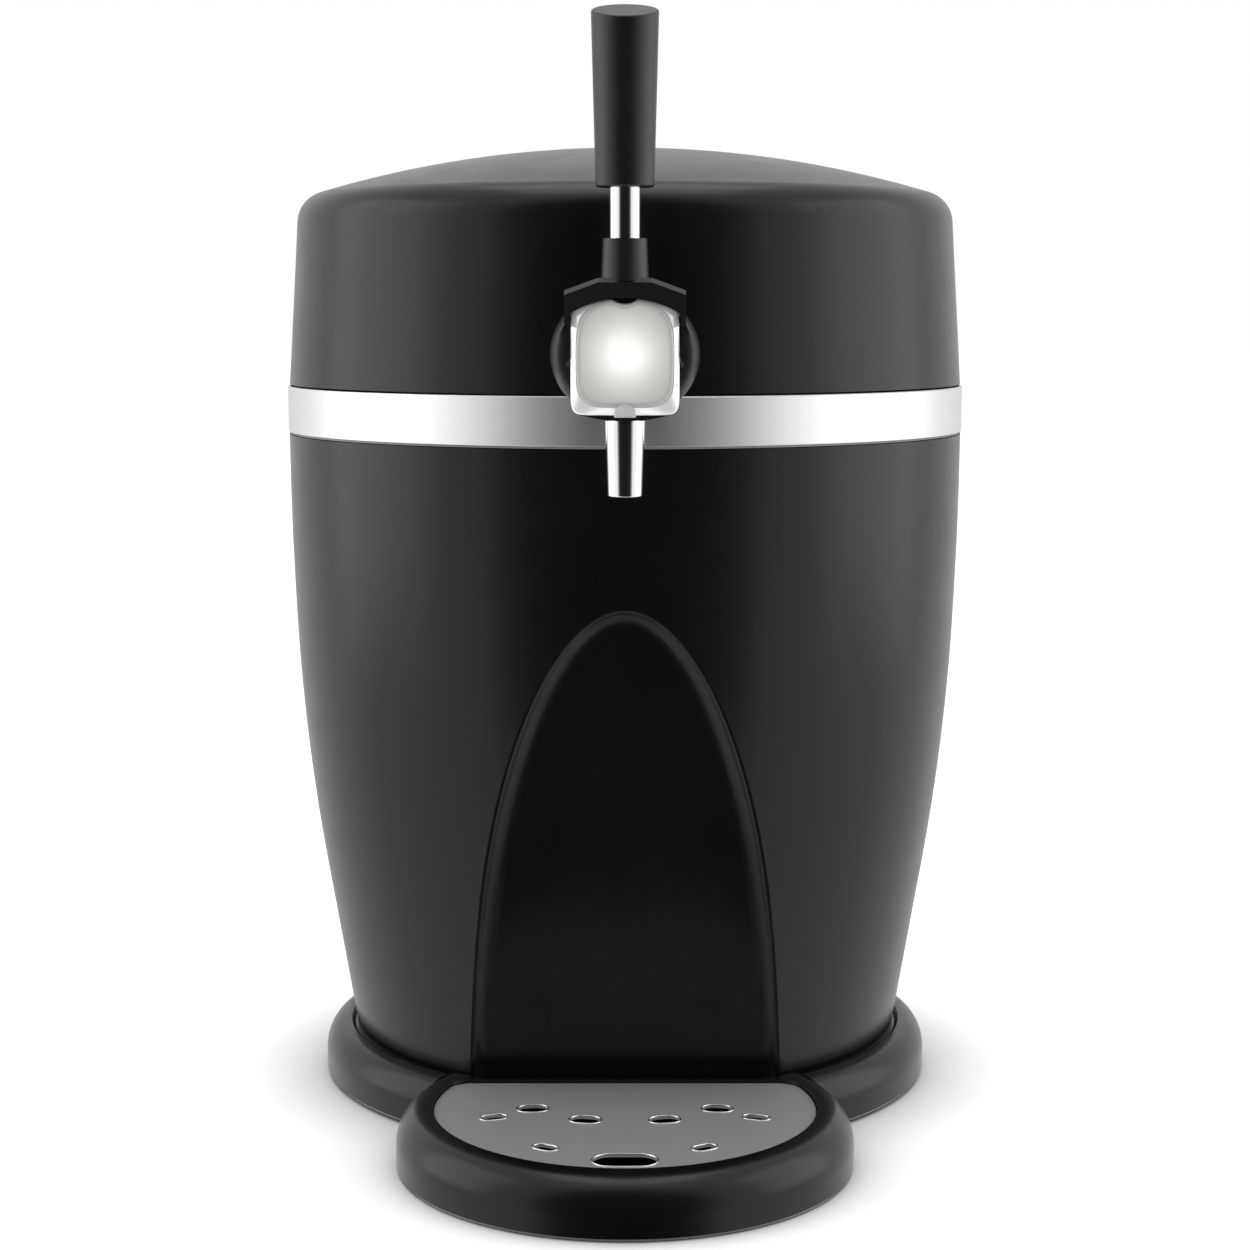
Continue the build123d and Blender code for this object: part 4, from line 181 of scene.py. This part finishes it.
def foamed(name, color):
    """Rigid foam with small cells."""
    look = Look(name)
    look.shader.inputs["Roughness"].default_value = 0.9
    look.tint(look.noise(scale=30.0, detail=4.0), *shades(color, spread=0.08))
    cells = look.node("ShaderNodeTexVoronoi", Scale=700.0)
    look.link(look.places(), cells.inputs["Vector"])
    look.bump(cells.outputs["Distance"], strength=0.6, depth=0.4 * MM)
    return look.material


def soft(name, color, rough, through=0.0):
    """Rubber, hose or milky plastic that lets a share of the light through."""
    look = Look(name)
    look.shader.inputs["Transmission Weight"].default_value = through
    look.tint(look.noise(scale=25.0, detail=3.0), *shades(color, spread=0.1))
    look.roughness(look.noise(scale=90.0, detail=3.0), rough - 0.06, rough + 0.06)
    look.bump(look.noise(scale=900.0, detail=2.0), strength=0.3, depth=0.08 * MM)
    return look.material


def circuit(name, color):
    """Board with etched tracks."""
    look = Look(name)
    look.shader.inputs["Roughness"].default_value = 0.4
    tracks = look.node("ShaderNodeTexBrick", Scale=180.0)
    look.link(look.places(), tracks.inputs["Vector"])
    for key, shade in (("Color1", 0.9), ("Color2", 1.1), ("Mortar", 2.2)):
        tracks.inputs[key].default_value = (*(c * shade for c in color), 1)
    look.link(tracks.outputs["Color"], look.shader.inputs["Base Color"])
    look.bump(tracks.outputs["Fac"], strength=0.3, depth=0.1 * MM)
    return look.material


AROUND = (14.0, 14.0, 2600.0)      # lines round an upright form
ALONG_X = (14.0, 1800.0, 1800.0)
NO_LINES = (300.0, 300.0, 300.0)

SHELL = (0.004, 0.004, 0.0043)
BLACK_TAP = moulded("tap_black", (0.007, 0.007, 0.0073), 0.36, scale=2200.0)
GRIP = moulded("grip_black", (0.006, 0.006, 0.0063), 0.38, grain=0.35, scale=1800.0)
REAR_BLACK = moulded("rear_black", (0.008, 0.008, 0.0084), 0.48, grain=0.5, scale=900.0)
CHROME = polished("chrome", (0.88, 0.88, 0.89), 0.04)
SATIN_PAD = satin("satin_pad", (0.52, 0.508, 0.482), 0.32, 0.4)
FACE_RIM = satin("face_rim", (0.96, 0.96, 0.96), 0.14, 0.4)
PLATE_STEEL = brushed("plate_steel", (0.6, 0.6, 0.61), 0.3, ALONG_X,
                      grain=0.05, streak=0.01, metallic=0.6, uneven=0.01)
LIP_STEEL = polished("lip_steel", (0.85, 0.85, 0.86), 0.12)
CLEAR_TAB = soft("clear_tab", (0.62, 0.62, 0.61), 0.25, through=0.4)

LOOKS = {                          # by the record's material slot
    "shell_black": moulded("satin_black", SHELL, 0.27, gloss=0.34),
    "base_black": moulded("base_black", SHELL, 0.27, gloss=0.34),
    "rubber": soft("foot_rubber", (0.03, 0.03, 0.03), 0.75),
    "foam": foamed("foam_cells", (0.85, 0.82, 0.7)),
    "band_steel": brushed("band_silver", (0.88, 0.88, 0.89), 0.5, AROUND,
                          grain=0.05, streak=0.02, anisotropic=0.7, uneven=0.02),
    "chrome": CHROME,
    "satin_steel": brushed("satin_steel_lines", (0.55, 0.55, 0.56), 0.3, ALONG_X),
    "screw_steel": brushed("zinc", (0.5, 0.5, 0.5), 0.32, NO_LINES),
    "aluminium": brushed("plain_aluminium", (0.75, 0.75, 0.76), 0.34, AROUND),
    "board_green": circuit("board", (0.03, 0.16, 0.06)),
    "grey_plastic": moulded("grey_moulded", (0.19, 0.19, 0.2), 0.45),
    "hose": soft("hose_clear", (0.72, 0.74, 0.72), 0.3, through=0.35),
    "seal": soft("seal_grey", (0.2, 0.2, 0.21), 0.6),
    "module_white": moulded("ceramic", (0.8, 0.8, 0.78), 0.5),
    "brass": brushed("brass_turned", (0.7, 0.52, 0.24), 0.28, ALONG_X),
    "cartridge_silver": brushed("cartridge_metal", (0.7, 0.7, 0.72), 0.26, ALONG_X),
}
OWN = {                            # nodes that differ from the rest of their slot
    "tap_body": BLACK_TAP,
    "lever_yoke": BLACK_TAP,
    "lever_grip": GRIP,
    "drip_plate": PLATE_STEEL,
    "rear_housing": REAR_BLACK,
    "hinge_bracket": REAR_BLACK,
    "hinge_leaves": REAR_BLACK,
    "rear_grille": REAR_BLACK,
}

slot_of = {row["node"]: row["material_slot"] for row in frame["record"]["subparts"]}
for name, node in NODES.items():
    look = OWN.get(name, LOOKS[slot_of[name]])
    if not node.material_slots:
        node.data.materials.append(look)
    for place in node.material_slots:
        place.material = look


# ---- mesh helpers ------------------------------------------------------------------
def piece(name, mesh, look, body):
    """A new visible piece that rides on a body."""
    made = bpy.data.objects.new(name, mesh)
    bpy.context.scene.collection.objects.link(made)
    mesh.materials.append(look)
    for face in mesh.polygons:
        face.use_smooth = True
    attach(made, body)
    return made


def join_rows(work, rows):
    """Faces between each ring of vertices and the next, all the way round."""
    for low, high in zip(rows, rows[1:]):
        for i in range(len(low)):
            k = (i + 1) % len(low)
            work.faces.new((low[i], low[k], high[k], high[i]))


def keep_mesh(name, work):
    """Turns the faces outward and keeps them as a mesh."""
    bmesh.ops.recalc_face_normals(work, faces=work.faces)
    mesh = bpy.data.meshes.new(name)
    work.to_mesh(mesh)
    work.free()
    return mesh


def skin(name, rings, closed=True):
    """Joins rings of points, each closed on itself, into one surface."""
    work = bmesh.new()
    rows = [[work.verts.new(point) for point in ring] for ring in rings]
    join_rows(work, rows)
    if closed:
        work.faces.new(rows[0][::-1])
        work.faces.new(rows[-1])
    return keep_mesh(name, work)


# ---- tap face: polished frame and crowned satin pad --------------------------------
FACE_MID_Z = (FACE_LOW.z + FACE_HIGH.z) / 2
FACE_HALF = (FACE_HIGH.x - FACE_LOW.x) / 2
FACE_UP = FACE_HIGH.z - FACE_MID_Z
FACE_STEPS = 288                   # points round an outline
FACE_ARCH = math.radians(14)       # slope of the top edge towards its corners
FRAME_CORNERS = 11.0               # how tight the frame's corners are
PAD_HEAD_CORNERS, PAD_SOLE_CORNERS = 3.2, 4.6   # the same for the pad's upper and lower ones
NOTCH_R = 6.4 * MM                 # shallow notch in the middle of the top edge
NOTCH_RISE = 4.2 * MM              # its centre above that edge
NOTCH_RIM = 0.4 * MM               # frame left between the notch and the pad
RIM_SIDE, RIM_TOP, RIM_SOLE = 1.8 * MM, 1.3 * MM, 2.7 * MM   # sloping rim round the pad
RIM_FOOT_Y = FACE_LOW.y + 3.3 * MM   # where its slope begins
RIM_HEAD_SINK = 0.25 * MM          # where it ends, behind the pad's crown
RIM_BULGE = 0.06 * MM
RIM_STEPS = 8
FRAME_EASE = 0.3 * MM              # eased edge at the back of the frame
SEAT_SINK = 0.9 * MM               # floor of the frame under the pad
CROWN_R = 150 * MM                 # the pad is part of a ball of this radius
CROWN_SETBACK = 0.1 * MM           # its middle behind the front of the CAD face
CROWN_RINGS = 14
CROWN_HOLE = 0.015                 # share of the outline left for the last flat face
PAD_WALL_INSET, PAD_EDGE_INSET = 0.15 * MM, 0.3 * MM
PAD_WALL_SINKS, PAD_EDGE_SINK = (0.8 * MM, 0.2 * MM), 0.03 * MM


def face_reach(angle, inset, pad):
    """Distance from the middle of the face to its edge, or to the pad's, drawn in by an inset."""
    across, up = math.cos(angle), math.sin(angle)
    if pad:
        side, top, sole, leans = RIM_SIDE, RIM_TOP, RIM_SOLE, (0.0,)
        corners = PAD_HEAD_CORNERS if up > 0 else PAD_SOLE_CORNERS
        notch = NOTCH_R + inset + NOTCH_RIM
    else:
        side, top, sole, leans = 0.0, 0.0, 0.0, (-FACE_ARCH, FACE_ARCH)
        corners = FRAME_CORNERS
        notch = NOTCH_R + inset
    edges = [(across, FACE_HALF - side), (-across, FACE_HALF - side), (-up, FACE_UP - sole)]
    for lean in leans:
        crown = (FACE_UP - top) * math.cos(lean) * len(leans) ** (1.0 / corners)
        edges.append((up * math.cos(lean) + across * math.sin(lean), crown))
    total = sum(max(0.0, along / (far - inset)) ** corners for along, far in edges)
    reach = total ** (-1.0 / corners)
    rise = FACE_UP + NOTCH_RISE
    if up > 0 and abs(across) * rise < notch:
        reach = min(reach, rise * up - math.sqrt(notch ** 2 - (rise * across) ** 2))
    return reach


def outline(inset, pad, shrink=1.0):
    """Places (across, up) round the frame's edge or the pad's, from the middle of the face."""
    places = []
    for i in range(FACE_STEPS):
        angle = 2 * math.pi * i / FACE_STEPS
        reach = face_reach(angle, inset, pad) * shrink
        places.append((reach * math.cos(angle), reach * math.sin(angle)))
    return places


def frame_ring(inset, y):
    """The frame's outline at one depth."""
    return [(across, y, FACE_MID_Z + up) for across, up in outline(inset, pad=False)]


def pad_ring(inset, sink=0.0, shrink=1.0):
    """The pad's outline on its crown, or sunk behind it."""
    ring = []
    for across, up in outline(inset, True, shrink):
        crown = FACE_LOW.y + CROWN_SETBACK + (across ** 2 + up ** 2) / (2 * CROWN_R)
        ring.append((across, crown + sink, FACE_MID_Z + up))
    return ring


def frame_rings():
    """From the frame's back, up its sloping rim and down to the pad's seat."""
    rings = [frame_ring(FRAME_EASE, FACE_HIGH.y), frame_ring(0, FACE_HIGH.y - FRAME_EASE)]
    foot, head = frame_ring(0, RIM_FOOT_Y), pad_ring(0, RIM_HEAD_SINK)
    for i in range(RIM_STEPS + 1):
        part = i / RIM_STEPS
        bulge = RIM_BULGE * math.sin(math.pi * part)
        rings.append([(a[0] + (b[0] - a[0]) * part,
                       a[1] + (b[1] - a[1]) * part - bulge,
                       a[2] + (b[2] - a[2]) * part) for a, b in zip(foot, head)])
    return rings + [pad_ring(PAD_WALL_INSET, SEAT_SINK)]


def pad_rings():
    """From the pad's wall over its edge to the middle of its crown."""
    rings = [pad_ring(PAD_WALL_INSET, sink) for sink in PAD_WALL_SINKS]
    rings.append(pad_ring(PAD_EDGE_INSET, PAD_EDGE_SINK))
    for i in range(1, CROWN_RINGS + 1):
        shrink = 1 - i / CROWN_RINGS * (1 - CROWN_HOLE)
        rings.append(pad_ring(PAD_EDGE_INSET, shrink=shrink))
    return rings


face_frame = piece("face_frame", skin("face_frame", frame_rings()), FACE_RIM, "lid")
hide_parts("tap_face")
face_pad = piece("face_pad", skin("face_pad", pad_rings()), SATIN_PAD, "lid")

# ---- rounded shoulder between the tap's ball and its neck --------------------------
BALL_HALF = (TAP_HIGH.x - TAP_LOW.x) / 2
BALL_UP = TAP_HIGH.z - PIVOT_Z
SHOULDER_Y = PIVOT_Y + 8.05 * MM   # just behind the ball's flat front
SHOULDER_SIZE = 0.911              # its size there as a share of the ball's
SHOULDER_RISE = 2.7 * MM
SHOULDER_STEPS = 96
SADDLE_EDGE, SADDLE_FADE = 9.0 * MM, 5.0 * MM   # above the pivot, where the shoulder has gone flat
SKIRT_SIZE, SKIRT_DEPTH = 0.985, 0.8 * MM       # outer edge, tucked into the ball
NECK_SIZE, NECK_DEPTH = 0.6, 2.5 * MM           # inner edge, tucked in beside the neck


def shoulder_ring(share, back=0.0):
    """One ring of the shoulder; it stays low under the lever's saddle."""
    points = []
    for i in range(SHOULDER_STEPS):
        angle = 2 * math.pi * i / SHOULDER_STEPS
        across = BALL_HALF * SHOULDER_SIZE * share * math.cos(angle)
        up = BALL_UP * SHOULDER_SIZE * share * math.sin(angle)
        clear = min(1.0, max(0.0, (SADDLE_EDGE - up) / SADDLE_FADE))
        rise = SHOULDER_RISE * math.sqrt(max(0.0, 1 - share ** 2)) * clear
        points.append((across, SHOULDER_Y - rise + back, PIVOT_Z + up))
    return points


shoulder_rings = [shoulder_ring(SKIRT_SIZE, SKIRT_DEPTH)]
for slant in range(90, 35, -5):
    shoulder_rings.append(shoulder_ring(math.sin(math.radians(slant))))
shoulder_rings.append(shoulder_ring(NECK_SIZE, NECK_DEPTH))
piece("tap_shoulder", skin("tap_shoulder", shoulder_rings, closed=False), BLACK_TAP, "lid")

# ---- clear tab at the foot of the tap face -----------------------------------------
TAB_HALF = 3.6 * MM
TAB_TALL = 1.3                     # its height as a share of its half width
TAB_BASE_Z = FACE_LOW.z - 0.6 * MM
TAB_BACK_Y = FACE_LOW.y + 2.0 * MM
TAB_THICK = 1.9 * MM
TAB_STEPS = 24
TAB_PROFILE = ((0.0, 0.86), (0.25, 0.97), (0.75, 1.0), (1.0, 0.9), (1.08, 0.6), (1.1, 0.2))   # depth, size


def tab_ring(level, grow):
    """Half-round outline of the tab at one depth."""
    ring = []
    for i in range(TAB_STEPS + 1):
        angle = math.pi * i / TAB_STEPS
        ring.append((TAB_HALF * grow * math.cos(angle), TAB_BACK_Y - TAB_THICK * level,
                     TAB_BASE_Z + TAB_HALF * TAB_TALL * grow * math.sin(angle)))
    return ring


tab_rings = [tab_ring(level, grow) for level, grow in TAB_PROFILE]
piece("face_tab", skin("face_tab", tab_rings), CLEAR_TAB, "lid")

# ---- drip plate: rolled lips round the drain slots, in mm --------------------------
# across, forward of the tray's centre, length, width and turn in degrees; each once per side
DRAIN_SLOTS = [(33.0, 1.5, 11.0, 8.0, -8.0), (46.5, 11.5, 9.5, 5.5, -20.0), (27.2, 44.0, 9.0, 5.5, 32.0),
               (14.0, 14.0, 11.0, 8.0, 12.0)]
FRONT_DRAIN = (0.0, 57.0, 22.0, 12.5, 0.0)
LIP_WIDTH, LIP_HEIGHT = 0.6, 0.34
LIP_OVERHANG = 0.12                # past the slot's edge
LIP_SINK = 0.1                     # into the plate
LIP_ROWS = 8                       # points across the bead
SLOT_STEPS = 14                    # steps round each end of a slot


def slot_path(length, width):
    """Outline of a slot with round ends, about its middle."""
    r, run = width / 2, (length - width) / 2
    points = []
    for end in (1, -1):
        for i in range(SLOT_STEPS + 1):
            angle = -math.pi / 2 + math.pi * i / SLOT_STEPS
            points.append((end * (run + r * math.cos(angle)), end * r * math.sin(angle)))
    return points


def add_lip(work, x, front, length, width, turn):
    """A low rounded bead that follows the edge of one slot."""
    turn = math.radians(turn)
    rows = []
    for k in range(LIP_ROWS):
        angle = math.pi * k / (LIP_ROWS - 1)
        grow = LIP_WIDTH * (1 - math.cos(angle)) - LIP_OVERHANG
        rise = LIP_HEIGHT * math.sin(angle) - LIP_SINK
        row = []
        for px, py in slot_path(length + grow, width + grow):
            wx = x + px * math.cos(turn) - py * math.sin(turn)
            wy = px * math.sin(turn) + py * math.cos(turn) - front
            row.append(work.verts.new((wx * MM, TRAY_CENTRE_Y + wy * MM, PLATE_TOP_Z + rise * MM)))
        rows.append(row)
    join_rows(work, rows)


lips = bmesh.new()
for x, front, length, width, turn in DRAIN_SLOTS:
    for side in (-1, 1):
        add_lip(lips, side * x, front, length, width, side * turn)
add_lip(lips, *FRONT_DRAIN)
bmesh.ops.remove_doubles(lips, verts=lips.verts, dist=0.001 * MM)
piece("slot_lips", keep_mesh("slot_lips", lips), LIP_STEEL, "plate")

# ---- stage -------------------------------------------------------------------------
FLOOR_SIZE = 30.0
FLOOR_GLOW = 0.3
PAINTED_SHADE_REACH = 0.05               # width of the painted contact shade where the object meets the floor


def value_mix(tree, factor, low, high):
    """low where factor is 0, high where it is 1."""
    made = add_node(tree, "ShaderNodeMix", data_type="FLOAT")
    tree.links.new(factor, made.inputs["Factor"])
    for key, value in (("A", low), ("B", high)):
        if isinstance(value, float):
            made.inputs[key].default_value = value
        else:
            tree.links.new(value, made.inputs[key])
    return made.outputs["Result"]


def straight_sight(tree, path):
    """1 for rays that come from the camera or through clear material."""
    either = add_node(tree, "ShaderNodeMath", operation="MAXIMUM")
    tree.links.new(path.outputs["Is Camera Ray"], either.inputs[0])
    tree.links.new(path.outputs["Is Transmission Ray"], either.inputs[1])
    return either.outputs[0]


def floor_look():
    """White floor that keeps its shadow, darkened by a painted contact shade near the object, and meets the
    backdrop without a line.
    """
    look = Look("floor_white")
    look.shader.inputs["Roughness"].default_value = 0.9
    look.shader.inputs["Specular IOR Level"].default_value = 0.1
    pale = look.tint(look.noise(scale=3.0, detail=2.0), (0.91, 0.91, 0.91), (0.93, 0.93, 0.93))
    # painted contact shade: ambient occlusion darkens the floor's colour close to the object
    painted_contact_shade = look.node("ShaderNodeAmbientOcclusion", Distance=PAINTED_SHADE_REACH, samples=8)
    look.link(pale, painted_contact_shade.inputs["Color"])
    look.link(painted_contact_shade.outputs["Color"], look.shader.inputs["Base Color"])
    sight = straight_sight(look.tree, look.node("ShaderNodeLightPath"))
    # the floor's glow is dimmed by the same painted contact shade
    glow_with_painted_shade = look.node("ShaderNodeMath", operation="MULTIPLY")
    look.link(value_mix(look.tree, sight, 0.0, FLOOR_GLOW), glow_with_painted_shade.inputs[0])
    look.link(painted_contact_shade.outputs["AO"], glow_with_painted_shade.inputs[1])
    glow = look.node("ShaderNodeEmission")
    look.link(glow_with_painted_shade.outputs[0], glow.inputs["Strength"])
    both = look.node("ShaderNodeAddShader")
    look.link(look.shader.outputs[0], both.inputs[0])
    look.link(glow.outputs[0], both.inputs[1])
    look.link(both.outputs[0], look.tree.nodes["Material Output"].inputs["Surface"])
    return look.material


def build_floor():
    half = FLOOR_SIZE / 2
    mesh = bpy.data.meshes.new("floor")
    corners = [(-half, -half, 0), (half, -half, 0), (half, half, 0), (-half, half, 0)]
    mesh.from_pydata(corners, [], [(0, 1, 2, 3)])
    mesh.materials.append(floor_look())
    made = bpy.data.objects.new("floor", mesh)
    bpy.context.scene.collection.objects.link(made)
    made.visible_glossy = False    # gloss shows the room below the horizon instead


# The room: white to the eye, nearly white to matt surfaces, and for glossy ones dark in
# front of the object, where the camera stands, and bright to the sides and behind.
ROOM_LIGHT = 0.92
ROOM_SEEN_IN_GLOSS = [(0.0, 0.012), (0.08, 0.02), (0.13, 0.35), (0.18, 1.0), (0.6, 0.95), (1.0, 0.8)]
FRONT_STRETCH = 0.6                # makes the dark part of the room taller than wide


def build_room():
    world = bpy.data.worlds.new("studio")
    bpy.context.scene.world = world
    world.use_nodes = True
    tree, links = world.node_tree, world.node_tree.links
    coords = add_node(tree, "ShaderNodeTexCoord")
    flatter = add_node(tree, "ShaderNodeVectorMath", operation="MULTIPLY")
    flatter.inputs[1].default_value = (1, 1, FRONT_STRETCH)
    even = add_node(tree, "ShaderNodeVectorMath", operation="NORMALIZE")
    split = add_node(tree, "ShaderNodeSeparateXYZ")
    rearward = add_node(tree, "ShaderNodeMapRange", **{"From Min": -1.0})
    links.new(coords.outputs["Generated"], flatter.inputs[0])
    links.new(flatter.outputs["Vector"], even.inputs[0])
    links.new(even.outputs["Vector"], split.inputs[0])
    links.new(split.outputs["Y"], rearward.inputs["Value"])
    ramp = add_node(tree, "ShaderNodeValToRGB")
    links.new(rearward.outputs["Result"], ramp.inputs["Fac"])
    stops = ramp.color_ramp.elements
    while len(stops) < len(ROOM_SEEN_IN_GLOSS):
        stops.new(1.0)             # its place is set below
    for stop, (place, shade) in zip(stops, ROOM_SEEN_IN_GLOSS):
        stop.position = place
        stop.color = (shade, shade, shade, 1)
    path = add_node(tree, "ShaderNodeLightPath")
    seen = value_mix(tree, path.outputs["Is Diffuse Ray"], ramp.outputs["Color"], ROOM_LIGHT)
    backdrop = tree.nodes["Background"]
    backdrop.inputs["Color"].default_value = (1, 1, 1, 1)
    links.new(value_mix(tree, straight_sight(tree, path), seen, 1.0), backdrop.inputs["Strength"])


build_floor()
build_room()

# ---- lamps -------------------------------------------------------------------------
MIDDLE = (0, BODY_AXIS_Y, 0.2)
BOX_SIZE, BOX_HEIGHT = 1.3, 1.5
BOX_AWAY, BOX_Z = 1.5, 0.62
TOP_PLACE = (0, 0.1, 1.9)
PAD_LAMP_PLACE = (0, BODY_AXIS_Y - 1.08, 0.275)
PAD_LAMP_SIZE = 0.12
BOX_WATTS, TOP_WATTS, PAD_WATTS = 6.6, 8.0, 1.3


def lamp(name, at, aim, size, watts, height=None):
    data = bpy.data.lights.new(name, "AREA")
    data.energy = watts
    data.size = size
    if height:
        data.shape = "RECTANGLE"
        data.size_y = height
    made = bpy.data.objects.new(name, data)
    bpy.context.scene.collection.objects.link(made)
    made.location = at
    made.rotation_euler = (Vector(aim) - Vector(at)).to_track_quat("-Z", "Y").to_euler()
    made.visible_camera = False
    return made


lamp("left_box", (-BOX_AWAY, 0, BOX_Z), MIDDLE, BOX_SIZE, BOX_WATTS, BOX_HEIGHT)
lamp("right_box", (BOX_AWAY, 0, BOX_Z), MIDDLE, BOX_SIZE, BOX_WATTS, BOX_HEIGHT)
lamp("top_box", TOP_PLACE, MIDDLE, BOX_SIZE, TOP_WATTS)
pad_lamp = lamp("pad_lamp", PAD_LAMP_PLACE, (0, FACE_LOW.y, FACE_MID_Z), PAD_LAMP_SIZE, PAD_WATTS)
pad_only = bpy.data.collections.new("lit_by_pad_lamp")
pad_only.objects.link(face_pad)
pad_lamp.light_linking.receiver_collection = pad_only

# ---- camera ------------------------------------------------------------------------
CAMERA_LENS = 73.9                 # on a sensor 36 mm wide
CAMERA_AWAY, CAMERA_Z = 1.017, 0.3066   # in front of the body's axis, above the counter
CAMERA_DIP = 7.22                  # degrees below the horizon
camera_data = bpy.data.cameras.new("camera")
camera_data.lens = CAMERA_LENS
camera_data.sensor_width = 36.0
camera = bpy.data.objects.new("camera", camera_data)
bpy.context.scene.collection.objects.link(camera)
camera.location = (0, BODY_AXIS_Y - CAMERA_AWAY, CAMERA_Z)
camera.rotation_euler = (math.radians(90 - CAMERA_DIP), 0, 0)
bpy.context.scene.camera = camera
bpy.context.scene.view_settings.view_transform = "Standard"
